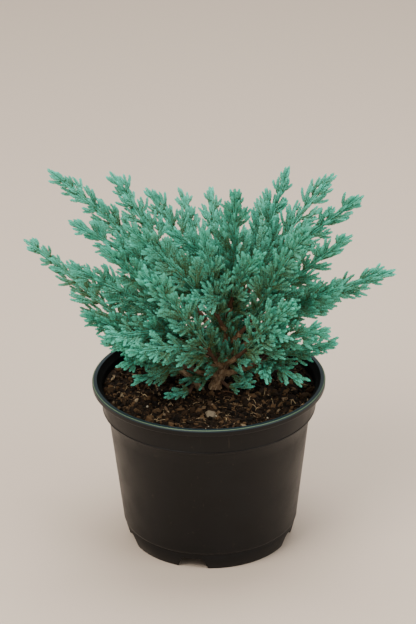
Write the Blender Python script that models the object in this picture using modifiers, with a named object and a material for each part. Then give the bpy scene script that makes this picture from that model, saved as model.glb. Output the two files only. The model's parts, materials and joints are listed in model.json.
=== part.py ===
# Potted creeping juniper: a low, spreading blue-green conifer in a round black nursery pot.
#
# Metres, +Z up. The origin is on the pot's axis at the level the foot ring stands on, and -Y is
# the front. The pot is a turned shell round a fill of compost. A leaning trunk and a thin second
# stem stand on the compost, cut flat at its surface, and carry tapering boughs. Each mass of
# foliage is one solid: a stub on its bough's tip, one to four plumes that part from it, and the
# sprays along each plume's stem, all fused together. A mass keeps to the space that lies nearer to
# its own stems than to any other's.
import math
import random

import bmesh
import bpy
import numpy as np
from mathutils import Matrix, Vector, noise

GAP = 0.0003                # clearance between touching pieces
CLEARANCE = 1.8 * GAP       # what a spray keeps to limbs and to the edge of its space
SEED = 17

# Pot
POT_HEIGHT = 0.1262
RIM_R = 0.085               # outer radius of the lip
RIM_INNER_R = 0.0812
RIM_EDGE = 0.0008           # chamfer of the lip's outer edge
LIP_HEIGHT = 0.0047
COLLAR_HEIGHT = 0.0178
COLLAR_TOP_R = 0.0791
COLLAR_FOOT_R = 0.0775
BODY_TOP_R = 0.0740
BODY_FOOT_R = 0.0646
STEP_HEIGHT = 0.0015        # slope between the collar and the body
CORNER_HEIGHT = 0.0150      # where the body starts to round in to the foot
CREASE_R = 0.0636
FOOT_HEIGHT = 0.0108
FOOT_TOP_R = 0.0630
FOOT_R = 0.0603
FOOT_WALL = 0.0018
WALL = 0.0013
FLOOR_Z = 0.0100            # underside of the raised floor
FLOOR_TOP_Z = 0.0112
TURN_STEPS = 36
NOTCH_ANGLES = (-72, -12.5, 70, 145, 217)    # degrees from the front towards +X
NOTCH_FOOT_WIDTH = 0.024
NOTCH_TOP_WIDTH = 0.015
NOTCH_HEIGHT = 0.0092
HOLE_COUNT = 5
HOLE_R = 0.0042
HOLE_RING_R = 0.044
CUT_PAST = 0.002            # how far a cutter runs past what it cuts
CUTTER_DEPTH = 0.014        # how far a notch's block straddles the foot ring

# Compost
SOIL_Z = 0.1168
SOIL_RELIEF = 0.0013
SOIL_RINGS = (0.018, 0.037, 0.058)
SOIL_FLAT_R = 0.018         # level patch under the stems
SOIL_LUMP = 0.021           # width of the lumps in the relief
SOIL_CLEAR = 2 * GAP        # what a spray keeps to the compost's highest lumps and to the rim

# Trunk and second stem: (x, y, height above the compost, radius)
TRUNK_ROUTE = (
    (0.0040, 0.000, 0.0000, 0.0060), (0.0040, 0.000, 0.0016, 0.0047),
    (0.0060, 0.000, 0.0052, 0.0039), (0.0095, 0.000, 0.0130, 0.0035),
    (0.0130, 0.001, 0.0240, 0.0033), (0.0138, 0.002, 0.0360, 0.0030),
    (0.0138, 0.002, 0.0480, 0.0027), (0.0156, 0.001, 0.0620, 0.0023),
    (0.0166, 0.000, 0.0700, 0.0021),
)
LEFT_STEM_ROUTE = (
    (-0.0062, -0.0040, 0.0000, 0.0034), (-0.0062, -0.0040, 0.0014, 0.0027),
    (-0.0100, -0.0045, 0.0056, 0.0024), (-0.0135, -0.0050, 0.0112, 0.0023),
    (-0.0185, -0.0055, 0.0155, 0.0021), (-0.0285, -0.0065, 0.0245, 0.0019),
)
BOUGH_ROOT_R = 0.0023
BOUGH_TIP_R = 0.0018
BOUGH_RISE = 14             # degrees that a bough steepens from root to tip
BOUGH_PIECES = 4
SADDLE_GAP = 1.15 * GAP     # clearance of a bough's root, over the gap because both are faceted

# The heart is the point that azimuth, climb and reach of every plume tip are taken from.
HEART = Vector((0.004, 0.0, 0.125))

# Plumes of the masses that sit on a stem's tip: azimuth and climb in degrees, and reach.
TRUNK_TIP_PLUMES = ((-63, 78, 0.164), (-150, 73, 0.134), (60, 76, 0.132))
LEFT_STEM_TIP_PLUMES = ((164, 33.5, 0.171), (-151, 36, 0.130), (-142, 23, 0.090),
                        (178, 20, 0.085))

# Boughs: name, share of the trunk's height where it leaves, azimuth, climb, length, and the
# azimuth, climb and reach of each plume of the mass that it carries.
BOUGHS = (
    ("southwest_low", 0.14, -158, 24, 0.021, ((-152, 12, 0.066), (-141, 33, 0.104))),
    ("east_low", 0.17, -16, 22, 0.026, ((-19, 24, 0.102), (-33, 12, 0.076), (-52, 22, 0.063))),
    ("northwest_low", 0.22, 146, 20, 0.026, ((138, 22, 0.126), (172, 16, 0.082))),
    ("fork_left", 0.24, -118, 44, 0.017, ((-118, 50, 0.167), (-128, 31, 0.116))),
    ("southeast_low", 0.29, -52, 36, 0.018, ((-38, 33, 0.122), (-56, 44, 0.140))),
    ("southwest", 0.33, -156, 40, 0.022, ((-134, 33, 0.132), (-147, 54, 0.157), (-168, 44, 0.146))),
    ("east", 0.37, 4, 40, 0.022, ((0, 33, 0.155), (-24, 42, 0.134), (22, 25, 0.128))),
    ("north", 0.40, 92, 34, 0.022, ((91, 50, 0.146), (103, 22, 0.104), (72, 38, 0.126))),
    ("west_up", 0.50, 166, 48, 0.024, ((161, 50, 0.194), (-174, 52, 0.165), (146, 58, 0.168))),
    ("southeast", 0.51, -42, 44, 0.018, ((-46, 57, 0.176), (-28, 51, 0.172), (-52, 37, 0.104))),
    ("northeast", 0.56, 50, 44, 0.020, ((43, 62, 0.163), (66, 47, 0.147), (52, 20, 0.120))),
    ("northwest", 0.60, 122, 46, 0.020, ((128, 58, 0.147), (107, 56, 0.142), (126, 32, 0.136))),
    ("south", 0.64, -112, 44, 0.015, ((-101, 75, 0.137), (-132, 59, 0.176))),
    ("east_up", 0.72, 6, 56, 0.018, ((-6, 54, 0.181), (25, 56, 0.172))),
    ("front_up", 0.85, -84, 50, 0.011, ((-110, 58, 0.100), (-60, 62, 0.140))),
)
# Small low sprays at the foot of the stems: name, stem, share of its length, its radius there,
# azimuth, climb, length.
FOOT_SPRAYS = (
    ("foot_left", "left_stem", 0.24, 0.00235, -128, 4, 0.026),
    ("foot_right", "trunk", 0.11, 0.00375, -34, 10, 0.025),
)
FOOT_SPRAY_GAP = 1.5 * GAP

# Masses: plumes that part from one stub on their bough's tip
STUB_LENGTH = 0.008
STUB_TIP_R = 0.0013
PLUME_START = 0.55          # share of the stub where its first plume starts
PLUME_START_LATER = 0.10    # added for each further plume
STUB_PULL = 0.65            # share of the stub's heading in that of a plume's first stretch
PLUME_BEND = 0.30           # length of a plume's first stretch, as a share of its reach
PLUME_EASE = 0.33           # the same for its last stretch
STEM_ROOT_R = 0.00090
STEM_TIP_R = 0.00050
STEM_POINTS = 6
STEM_DROOP = 7              # degrees that a plume flattens towards its tip
SPRAY_STEP = 0.0099         # distance between side sprays
SPRAY_CROWDING = 0.85       # under 1 sets them closer together towards the tip
SPRAY_START = 0.10          # share of the stem where the sprays begin
SPRAY_START_LATER = 0.06    # added for each further plume of a mass
SPRAY_END = 0.90
FEWEST_SPRAYS = 4
SPRAY_LENGTH = 0.0300
FULL_PLUME = 0.100          # a shorter plume has smaller sprays
SPRAY_SLIMMING = 0.6        # what a plume's last spray has lost of its length
SLIMMING_START = 0.25
SPRAY_ANGLE = 38            # degrees between a spray and its stem
SPRAY_TURN = 137.5          # degrees round the stem from one spray to the next
TIP_SPRAY = 0.020           # length of the spray that ends each plume
TIP_SPRAY_SHARE = 0.4       # and the most that it takes of a short plume
TIP_SPRAY_SUNK = 0.3        # share of it that the stem reaches into
SMALLEST_SPRAY = 0.009
TURN_JITTER = 15            # degrees either way
ANGLE_JITTER = 6
SIZE_JITTER = 0.1
# A spray that has no room is tried turned round the stem, then shorter: (share, degrees).
TRIALS = ((1.0, 0), (1.0, 65), (1.0, -65), (0.75, 0), (0.75, 65), (0.75, -65), (0.75, 180),
          (0.55, 0), (0.55, 90))

# Toothed blade that stands for a spray of needles, as shares of its length: (across, along)
BLADE_TOOTH = (0.26, 0.72)
BLADE_NOTCH = (0.115, 0.59)
BLADE_CENTRE = 0.40
BLADE_THICKNESS = 0.19
BLADE_SHIFT = 0.05          # how far the tooth of one side lies ahead of the other

COLOURS = {                 # base colour, roughness
    "black_plastic": ((0.018, 0.016, 0.014), 0.42),
    "compost": ((0.030, 0.018, 0.010), 0.95),
    "bark": ((0.110, 0.048, 0.030), 0.85),
    "needles": ((0.075, 0.230, 0.150), 0.60),
}


# ---- objects ----------------------------------------------------------------------------

def new_collection(name):
    collection = bpy.data.collections.new(name)
    bpy.context.scene.collection.children.link(collection)
    return collection


def make_material(name):
    colour, roughness = COLOURS[name]
    material = bpy.data.materials.new(name)
    material.use_nodes = True
    shader = material.node_tree.nodes["Principled BSDF"]
    shader.inputs["Base Color"].default_value = (*colour, 1.0)
    shader.inputs["Roughness"].default_value = roughness
    shader.inputs["Metallic"].default_value = 0.0
    return material


def add_mesh_object(name, mesh, collection, material=None):
    obj = bpy.data.objects.new(name, mesh)
    collection.objects.link(obj)
    if material:
        mesh.materials.clear()
        mesh.materials.append(material)
    return obj


def add_bmesh_object(name, bm, collection, material=None):
    mesh = bpy.data.meshes.new(name)
    bm.to_mesh(mesh)
    bm.free()
    return add_mesh_object(name, mesh, collection, material)


def evaluated_mesh(obj):
    depsgraph = bpy.context.evaluated_depsgraph_get()
    return bpy.data.meshes.new_from_object(obj.evaluated_get(depsgraph))


def apply_modifiers(obj):
    mesh = evaluated_mesh(obj)
    obj.modifiers.clear()
    obj.data = mesh


def merge_doubles(mesh, distance=1e-6):
    bm = bmesh.new()
    bm.from_mesh(mesh)
    bmesh.ops.remove_doubles(bm, verts=bm.verts, dist=distance)
    bm.to_mesh(mesh)
    bm.free()


def keep_one_body(mesh):
    """Drops loose scraps and fills sealed hollows: only the body with most faces stays."""
    bm = bmesh.new()
    bm.from_mesh(mesh)
    bodies = []
    left = set(bm.faces)
    while left:
        body, edge_of = set(), [left.pop()]
        while edge_of:
            face = edge_of.pop()
            body.add(face)
            near = {other for edge in face.edges for other in edge.link_faces} & left
            left -= near
            edge_of.extend(near)
        bodies.append(body)
    biggest = max(bodies, key=len)
    scraps = [face for body in bodies if body is not biggest for face in body]
    bmesh.ops.delete(bm, geom=scraps, context="FACES")
    bm.to_mesh(mesh)
    bm.free()


def tube(name, points, radii, resolution, collection, material=None):
    """A round tapering rod with flat ends, as a closed mesh."""
    curve = bpy.data.curves.new(name, "CURVE")
    curve.dimensions = "3D"
    curve.bevel_depth = max(radii)
    curve.bevel_resolution = resolution
    curve.use_fill_caps = True
    spline = curve.splines.new("POLY")
    spline.points.add(len(points) - 1)
    for spot, position, radius in zip(spline.points, points, radii):
        spot.co = (*position, 1.0)
        spot.radius = radius / max(radii)
    guide = bpy.data.objects.new(name, curve)
    collection.objects.link(guide)
    bpy.context.view_layer.update()
    mesh = evaluated_mesh(guide)
    mesh.name = name
    bpy.data.objects.remove(guide)
    merge_doubles(mesh)
    return add_mesh_object(name, mesh, collection, material)


def add_boolean(obj, operation, cutter=None, collection=None, solver="EXACT"):
    modifier = obj.modifiers.new(operation.lower(), "BOOLEAN")
    modifier.operation = operation
    modifier.solver = solver
    if collection:
        modifier.operand_type = "COLLECTION"
        modifier.collection = collection
    else:
        modifier.object = cutter
    return modifier


def hide_cutter(obj):
    obj.hide_render = True
    obj.display_type = "WIRE"


# ---- pot and compost --------------------------------------------------------------------

def inner_wall():
    """Inside of the pot from the floor's corner up to the lip, as (radius, height)."""
    collar_z = POT_HEIGHT - LIP_HEIGHT - COLLAR_HEIGHT
    return [
        (CREASE_R - WALL, FLOOR_TOP_Z),
        (BODY_FOOT_R - WALL, CORNER_HEIGHT),
        (BODY_TOP_R - WALL, collar_z - STEP_HEIGHT),
        (COLLAR_FOOT_R - WALL, collar_z + WALL),
        (COLLAR_TOP_R - WALL, POT_HEIGHT - LIP_HEIGHT + RIM_EDGE),
    ]


def pot_section():
    collar_z = POT_HEIGHT - LIP_HEIGHT - COLLAR_HEIGHT
    inside = [(0.0, FLOOR_TOP_Z)] + inner_wall()
    lip = [
        (RIM_INNER_R, POT_HEIGHT - RIM_EDGE),
        (RIM_INNER_R - RIM_EDGE / 2, POT_HEIGHT),
        (RIM_R - RIM_EDGE, POT_HEIGHT),
        (RIM_R, POT_HEIGHT - RIM_EDGE),
        (RIM_R, POT_HEIGHT - LIP_HEIGHT),
    ]
    outside = [
        (COLLAR_TOP_R, POT_HEIGHT - LIP_HEIGHT),
        (COLLAR_FOOT_R, collar_z),
        (BODY_TOP_R, collar_z - STEP_HEIGHT),
        (BODY_FOOT_R, CORNER_HEIGHT),
        (CREASE_R, FOOT_HEIGHT),
        (FOOT_TOP_R, FOOT_HEIGHT - RIM_EDGE),
        (FOOT_R, 0.0),
    ]
    underside = [
        (FOOT_R - FOOT_WALL, 0.0),
        (FOOT_TOP_R - FOOT_WALL, FLOOR_Z),
        (0.0, FLOOR_Z),
    ]
    return inside + lip + outside + underside


def turned(name, section, collection, material):
    """The section, which starts and ends on the axis, turned once round Z."""
    bm = bmesh.new()
    verts = [bm.verts.new((radius, 0.0, z)) for radius, z in section]
    for first, second in zip(verts, verts[1:]):
        bm.edges.new((first, second))
    obj = add_bmesh_object(name, bm, collection, material)
    screw = obj.modifiers.new("turn", "SCREW")
    screw.axis = "Z"
    screw.angle = math.tau
    screw.steps = TURN_STEPS
    screw.render_steps = TURN_STEPS
    screw.use_merge_vertices = True
    screw.merge_threshold = 0.00005
    return obj


def notch_cutter(angle, collection):
    """A block, narrower at the top, that straddles the foot ring."""
    bm = bmesh.new()
    bmesh.ops.create_cube(bm, size=1.0)
    for vert in bm.verts:
        top = vert.co.z > 0
        width = NOTCH_TOP_WIDTH if top else NOTCH_FOOT_WIDTH
        vert.co = Vector((vert.co.x * width, -FOOT_R + vert.co.y * CUTTER_DEPTH,
                          NOTCH_HEIGHT if top else -CUT_PAST))
    bmesh.ops.rotate(bm, verts=bm.verts, matrix=Matrix.Rotation(math.radians(angle), 3, "Z"))
    cutter = add_bmesh_object(f"cut_notch_{angle}", bm, collection)
    hide_cutter(cutter)
    return cutter


def hole_cutter(index, collection):
    angle = math.tau * (index + 0.5) / HOLE_COUNT
    bm = bmesh.new()
    bmesh.ops.create_cone(bm, cap_ends=True, segments=6, radius1=HOLE_R, radius2=HOLE_R,
                          depth=FLOOR_TOP_Z - FLOOR_Z + 2 * CUT_PAST)
    centre = Vector((HOLE_RING_R * math.cos(angle), HOLE_RING_R * math.sin(angle),
                     (FLOOR_Z + FLOOR_TOP_Z) / 2))
    bmesh.ops.translate(bm, verts=bm.verts, vec=centre)
    cutter = add_bmesh_object(f"cut_hole_{index}", bm, collection)
    hide_cutter(cutter)
    return cutter


def make_pot(parts, cutters):
    pot = turned("pot", pot_section(), parts, make_material("black_plastic"))
    tools = new_collection("pot_cutters")
    for angle in NOTCH_ANGLES:
        notch_cutter(angle, tools)
    for index in range(HOLE_COUNT):
        hole_cutter(index, tools)
    cutters.children.link(tools)
    add_boolean(pot, "DIFFERENCE", collection=tools)
    pot.data.shade_smooth()
    pot.data.set_sharp_from_angle(angle=math.radians(30))


def make_soil(parts):
    """Compost that fills the pot, with a lumpy top that is level under the stems."""
    edge = [(radius - GAP, z) for radius, z in inner_wall()]
    edge[0] = (edge[0][0], FLOOR_TOP_Z + GAP)
    low, high = edge[-2], edge[-1]
    share = (SOIL_Z - low[1]) / (high[1] - low[1])
    edge[-1] = (low[0] + share * (high[0] - low[0]), SOIL_Z)
    top = [(radius, SOIL_Z) for radius in reversed(SOIL_RINGS)]
    section = [(0.0, SOIL_Z)] + list(reversed(top)) + list(reversed(edge)) + [(0.0, edge[0][1])]
    soil = turned("soil", section, parts, make_material("compost"))
    apply_modifiers(soil)
    for vert in soil.data.vertices:
        radius = math.hypot(vert.co.x, vert.co.y)
        if abs(vert.co.z - SOIL_Z) < 1e-6 and radius > SOIL_FLAT_R:
            lump = noise.noise(vert.co / SOIL_LUMP + Vector((SEED, 0, 0)))
            vert.co.z += SOIL_RELIEF * lump
    soil.data.shade_smooth()


# ---- limbs ------------------------------------------------------------------------------

def heading(azimuth, climb):
    azimuth, climb = math.radians(azimuth), math.radians(climb)
    return Vector((math.cos(climb) * math.cos(azimuth), math.cos(climb) * math.sin(azimuth),
                   math.sin(climb)))


def along(points, share):
    """Point at a share of the length of a route, and the route's heading there."""
    left = share * sum((b - a).length for a, b in zip(points, points[1:]))
    for first, second in zip(points, points[1:]):
        piece = second - first
        if left <= piece.length:
            break
        left -= piece.length
    return first + piece.normalized() * left, piece.normalized()


def tapered(first, last, count):
    return [first + (last - first) * index / (count - 1) for index in range(count)]


def stem_limb(name, route, parts, material):
    points = [Vector((x, y, SOIL_Z + GAP + height)) for x, y, height, _ in route]
    radii = [radius for *_, radius in route]
    stem = tube(name, points, radii, 2, parts, material)
    stem.data.shade_smooth()
    return {"name": name, "points": points, "radii": radii}


def saddle_cut(limb, carrier, cutters):
    """Cuts a limb's root to the surface of the limb that carries it, clear by the gap."""
    radii = [radius + SADDLE_GAP for radius in carrier["radii"]]
    cutter = tube(f"cut_{limb.name}", carrier["points"], radii, 2, cutters)
    add_boolean(limb, "DIFFERENCE", cutter=cutter)
    bpy.context.view_layer.update()
    apply_modifiers(limb)
    bpy.data.objects.remove(cutter)
    merge_doubles(limb.data)


def make_bough(row, trunk, parts, cutters, material):
    direction, share, azimuth, climb, length, _ = row
    name = "bough_" + direction
    root, _ = along(trunk["points"], share)
    points = [root]
    for index in range(BOUGH_PIECES):
        rise = climb + BOUGH_RISE * (index / (BOUGH_PIECES - 1) - 0.5)
        points.append(points[-1] + heading(azimuth, rise) * length / BOUGH_PIECES)
    radii = tapered(BOUGH_ROOT_R, BOUGH_TIP_R, len(points))
    bough = tube(name, points, radii, 1, parts, material)
    saddle_cut(bough, trunk, cutters)
    bough.data.shade_smooth()
    return {"name": name, "points": points, "radii": radii}


# ---- masses of foliage ------------------------------------------------------------------

def bezier(start, first, second, end, t):
    s = 1.0 - t
    return start * s ** 3 + first * 3 * s * s * t + second * 3 * s * t * t + end * t ** 3


def plume_route(start, forward, tip):
    """The stem of a plume: off its bough's end, then flattening out towards its tip."""
    chord = tip - start
    flat = math.degrees(math.atan2(chord.z, math.hypot(chord.x, chord.y)))
    azimuth = math.degrees(math.atan2(chord.y, chord.x))
    first = forward.lerp(heading(azimuth, flat + STEM_DROOP), 1.0 - STUB_PULL)
    last = heading(azimuth, flat - STEM_DROOP)
    bend_out = start + first * chord.length * PLUME_BEND
    bend_in = tip - last * chord.length * PLUME_EASE
    return [bezier(start, bend_out, bend_in, tip, index / (STEM_POINTS - 1))
            for index in range(STEM_POINTS)]


class Space:
    """Tells which mass's stems are nearest to a point, and how far every limb is."""

    def __init__(self, masses, limbs):
        starts, ends, self.first = [], [], []
        for mass in masses:
            self.first.append(len(starts))
            for points in [[mass["root"], mass["fork"]]] + mass["plumes"]:
                starts += points[:-1]
                ends += points[1:]
        self.starts, self.ends = np.array(starts), np.array(ends)
        rows = [(a, b, max(r, s)) for limb in limbs for a, b, r, s in
                zip(limb["points"], limb["points"][1:], limb["radii"], limb["radii"][1:])]
        self.limb_starts = np.array([row[0] for row in rows])
        self.limb_ends = np.array([row[1] for row in rows])
        self.limb_radii = np.array([row[2] for row in rows])

    @staticmethod
    def distances(points, starts, ends):
        lines = ends - starts
        offsets = points[:, None, :] - starts[None]
        shares = (offsets * lines).sum(2) / (lines * lines).sum(1)
        nearest = lines * np.clip(shares, 0, 1)[..., None]
        return np.linalg.norm(offsets - nearest, axis=2)

    def has_room(self, points, own):
        """True if a blade keeps to its mass's space and clear of limbs, compost and pot."""
        to_stems = np.minimum.reduceat(self.distances(points, self.starts, self.ends),
                                       self.first, axis=1)
        mine = to_stems[:, own]
        others = np.delete(to_stems, own, axis=1).min(axis=1)
        if (others - mine < CLEARANCE).any():
            return False
        to_limbs = self.distances(points, self.limb_starts, self.limb_ends) - self.limb_radii
        if (to_limbs < CLEARANCE).any():
            return False
        over_wall = np.hypot(points[:, 0], points[:, 1]) > COLLAR_FOOT_R - 2 * WALL
        floor = np.where(over_wall, POT_HEIGHT, SOIL_Z + SOIL_RELIEF) + SOIL_CLEAR
        return not (points[:, 2] < floor).any()


def blade_outline(rng):
    """Points of the toothed outline as shares of the length, round from the tip."""
    shift = rng.choice((-1, 1)) * BLADE_SHIFT
    ahead = [(across, up + shift) for across, up in (BLADE_NOTCH, BLADE_TOOTH)]
    behind = [(-across, up - shift) for across, up in (BLADE_TOOTH, BLADE_NOTCH)]
    return [(0.0, 1.0)] + ahead + [(0.0, 0.0)] + behind


def blade_points(outline, root, direction, flat, length):
    """The blade's outline and the two points of its ridge, in world space."""
    across = direction.cross(flat).normalized()
    up = across.cross(direction)
    rim = [root + (across * x + direction * y) * length for x, y in outline]
    centre = root + direction * BLADE_CENTRE * length
    swell = up * BLADE_THICKNESS * length / 2
    return rim, [centre + swell, centre - swell]


def test_points(rim, ridge):
    """The blade's points with the middles of its edges."""
    points = list(rim) + list(ridge)
    points += [(a + b) / 2 for a, b in zip(rim, rim[1:] + rim[:1])]
    points += [(point + top) / 2 for point in rim for top in ridge]
    return np.array(points)


def make_blade(name, rim, ridge, collection):
    """A flat sphere of one ring, its ring drawn out to the blade's outline."""
    bm = bmesh.new()
    bmesh.ops.create_uvsphere(bm, u_segments=len(rim), v_segments=2, radius=1.0)
    poles = [vert for vert in bm.verts if abs(vert.co.z) > 0.5]
    ring = [vert for vert in bm.verts if abs(vert.co.z) <= 0.5]
    ring.sort(key=lambda vert: -math.atan2(vert.co.y, vert.co.x))
    poles.sort(key=lambda vert: -vert.co.z)
    for vert, point in zip(ring + poles, list(rim) + list(ridge)):
        vert.co = point
    if bm.calc_volume(signed=True) < 0:
        bmesh.ops.reverse_faces(bm, faces=bm.faces)
    return add_bmesh_object(name, bm, collection)


def spray_swell(share):
    """Length of the sprays along a plume, fullest in its inner half."""
    return 1.0 - SPRAY_SLIMMING * max(0.0, (share - SLIMMING_START) / (1.0 - SLIMMING_START))


def plume_blades(points, first, own, space, rng):
    """The sprays of one plume that have room, each as its rim and ridge."""
    length = sum((b - a).length for a, b in zip(points, points[1:]))
    tip = points[-1]
    forward = (tip - points[-2]).normalized()
    up = Vector((0, 0, 1))
    size = min(TIP_SPRAY, length * TIP_SPRAY_SHARE)
    blades = [blade_points(blade_outline(rng), tip - forward * size, forward, up, size)]
    count = max(FEWEST_SPRAYS, round(length * (SPRAY_END - first) / SPRAY_STEP))
    scale = min(1.0, 0.5 + 0.5 * length / FULL_PLUME)
    turn = rng.uniform(0, 360)
    for index in range(count):
        turn += SPRAY_TURN + rng.uniform(-TURN_JITTER, TURN_JITTER)
        place = ((index + rng.uniform(0.2, 0.8)) / count) ** SPRAY_CROWDING
        share = first + (SPRAY_END - first) * place
        root, forward = along(points, share)
        side = Matrix.Rotation(math.radians(turn), 3, forward) @ forward.cross(up).normalized()
        angle = math.radians(SPRAY_ANGLE + rng.uniform(-ANGLE_JITTER, ANGLE_JITTER))
        direction = forward * math.cos(angle) + side * math.sin(angle)
        flat = forward.cross(side)
        full = SPRAY_LENGTH * scale * spray_swell(share)
        full *= rng.uniform(1 - SIZE_JITTER, 1 + SIZE_JITTER)
        outline = blade_outline(rng)
        for share_of_full, extra in TRIALS:
            if full * share_of_full < SMALLEST_SPRAY:
                continue
            spin = Matrix.Rotation(math.radians(extra), 3, forward)
            blade = blade_points(outline, root, spin @ direction, spin @ flat,
                                 full * share_of_full)
            if space.has_room(test_points(*blade), own):
                blades.append(blade)
                break
    return blades


def make_mass(mass, own, space, parts, material):
    """Stub, stems and sprays of one mass, fused into one solid."""
    rng = random.Random(SEED * 100 + own)
    name = mass["name"]
    stub = tube(name, [mass["root"], mass["fork"]], [mass["radius"], STUB_TIP_R], 1, parts)
    fused = new_collection("fuse_" + name)
    for number, points in enumerate(mass["plumes"]):
        back = (points[-2] - points[-1]).normalized()
        rod = points[:-1] + [points[-1] + back * TIP_SPRAY * (1 - TIP_SPRAY_SUNK)]
        tube(f"stem_{number}", rod, tapered(STEM_ROOT_R, STEM_TIP_R, len(rod)), 0, fused)
        first = SPRAY_START + SPRAY_START_LATER * number
        for index, blade in enumerate(plume_blades(points, first, own, space, rng)):
            make_blade(f"blade_{number}_{index}", *blade, fused)
    add_boolean(stub, "UNION", collection=fused, solver="MANIFOLD")
    bpy.context.view_layer.update()
    apply_modifiers(stub)
    for piece in list(fused.objects):
        bpy.data.objects.remove(piece)
    bpy.data.collections.remove(fused)
    merge_doubles(stub.data)
    keep_one_body(stub.data)
    stub.data.materials.clear()
    stub.data.materials.append(material)


def plan_mass(name, root, forward, radius, tips):
    """A mass: its stub stands on root, and a stem runs from the stub to each plume's tip."""
    fork = root + forward * STUB_LENGTH
    plumes = []
    for number, tip in enumerate(tips):
        start = root.lerp(fork, PLUME_START + PLUME_START_LATER * number)
        plumes.append(plume_route(start, forward, tip))
    return {"name": name, "root": root, "fork": fork, "radius": radius, "plumes": plumes}


def plan_masses(trunk, left_stem, boughs):
    groups = [("crown_top", trunk, TRUNK_TIP_PLUMES), ("crown_west", left_stem,
              LEFT_STEM_TIP_PLUMES)]
    groups += [("crown_" + row[0], limb, row[5]) for limb, row in zip(boughs, BOUGHS)]
    masses = []
    for name, limb, rows in groups:
        end = limb["points"][-1]
        forward = (end - limb["points"][-2]).normalized()
        tips = [HEART + heading(azimuth, climb) * reach for azimuth, climb, reach in rows]
        masses.append(plan_mass(name, end + forward * GAP, forward, limb["radii"][-1], tips))
    stems = {"trunk": trunk, "left_stem": left_stem}
    for name, stem, share, radius, azimuth, climb, length in FOOT_SPRAYS:
        centre, grain = along(stems[stem]["points"], share)
        forward = heading(azimuth, climb + STEM_DROOP)
        forward = (forward - grain * forward.dot(grain)).normalized()
        root = centre + forward * (radius + FOOT_SPRAY_GAP)
        tip = root + heading(azimuth, climb) * length
        masses.append(plan_mass(name, root, forward, STUB_TIP_R, [tip]))
    return masses


def main():
    for obj in list(bpy.data.objects):
        bpy.data.objects.remove(obj)
    parts = new_collection("potted_juniper")
    cutters = new_collection("cutters")
    bark, needles = make_material("bark"), make_material("needles")

    make_soil(parts)
    trunk = stem_limb("trunk", TRUNK_ROUTE, parts, bark)
    left_stem = stem_limb("left_stem", LEFT_STEM_ROUTE, parts, bark)
    boughs = [make_bough(row, trunk, parts, cutters, bark) for row in BOUGHS]

    masses = plan_masses(trunk, left_stem, boughs)
    space = Space(masses, [trunk, left_stem] + boughs)
    for own, mass in enumerate(masses):
        make_mass(mass, own, space, parts, needles)
    make_pot(parts, cutters)


main()
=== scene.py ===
import json
import math
import random

import bmesh
import bpy
import numpy as np
from mathutils import Matrix, Vector, noise

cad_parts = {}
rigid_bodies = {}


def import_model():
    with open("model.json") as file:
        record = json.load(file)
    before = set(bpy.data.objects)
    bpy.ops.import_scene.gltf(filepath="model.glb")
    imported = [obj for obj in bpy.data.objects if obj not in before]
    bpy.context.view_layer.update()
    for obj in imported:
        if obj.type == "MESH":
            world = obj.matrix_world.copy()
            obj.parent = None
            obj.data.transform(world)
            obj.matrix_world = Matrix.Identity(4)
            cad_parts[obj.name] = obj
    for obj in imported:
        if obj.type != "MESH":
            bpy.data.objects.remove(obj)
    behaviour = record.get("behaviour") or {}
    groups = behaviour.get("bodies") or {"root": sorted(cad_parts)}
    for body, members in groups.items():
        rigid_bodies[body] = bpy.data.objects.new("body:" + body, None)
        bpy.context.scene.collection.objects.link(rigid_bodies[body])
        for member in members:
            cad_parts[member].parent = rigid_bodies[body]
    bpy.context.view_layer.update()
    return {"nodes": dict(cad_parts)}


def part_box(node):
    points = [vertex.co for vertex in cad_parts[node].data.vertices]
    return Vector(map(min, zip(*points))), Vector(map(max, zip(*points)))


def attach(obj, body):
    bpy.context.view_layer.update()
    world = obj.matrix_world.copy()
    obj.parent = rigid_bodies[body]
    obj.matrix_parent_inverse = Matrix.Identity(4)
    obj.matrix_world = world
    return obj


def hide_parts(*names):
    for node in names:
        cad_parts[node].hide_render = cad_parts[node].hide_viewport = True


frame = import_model()
print("frame loaded:", len(frame["nodes"]), "nodes")

# A creeping juniper in a round nursery pot. Metres, +Z up, -Y is the front. The limbs and the
# plumes follow the same plan as the solids, and everything finer grows on from there.

up = np.array((0.0, 0.0, 1.0))
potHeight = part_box("pot")[1].z
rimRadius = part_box("pot")[1].x
soilLevel = 0.1168
weldDistance = 0.00001                      # points nearer to each other than this are one


def rgb(red, green, blue):
    # screen colour, 0 to 255, to the linear values that shaders take
    def linear(value):
        value /= 255
        return value / 12.92 if value <= 0.04045 else ((value + 0.055) / 1.055) ** 2.4
    return (linear(red), linear(green), linear(blue), 1.0)


def linked(name, data):
    thing = bpy.data.objects.new(name, data)
    bpy.context.scene.collection.objects.link(thing)
    return thing


def addPiece(name, mesh, materials, nodes):
    piece = linked(name, mesh)
    for material in materials:
        mesh.materials.append(material)
    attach(piece, "root")
    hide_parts(*nodes)


def shadeSmooth(mesh, sharpAngle):
    mesh.shade_smooth()
    mesh.set_sharp_from_angle(angle=math.radians(sharpAngle))


def bmeshToMesh(bm, name, sharpAngle=None):
    mesh = bpy.data.meshes.new(name)
    bm.to_mesh(mesh)
    bm.free()
    if sharpAngle is not None:
        shadeSmooth(mesh, sharpAngle)
    return mesh


def turned(line, steps):
    # a bmesh of a line of (radius, height) points turned about the upright axis
    bm = bmesh.new()
    verts = [bm.verts.new((radius, 0, z)) for radius, z in line]
    edges = [bm.edges.new(pair) for pair in zip(verts, verts[1:])]
    bmesh.ops.spin(bm, geom=verts + edges, cent=(0, 0, 0), axis=(0, 0, 1), angle=math.tau,
                   steps=steps, use_merge=True)
    bmesh.ops.remove_doubles(bm, verts=bm.verts, dist=weldDistance)
    bmesh.ops.recalc_face_normals(bm, faces=bm.faces)
    return bm


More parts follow.
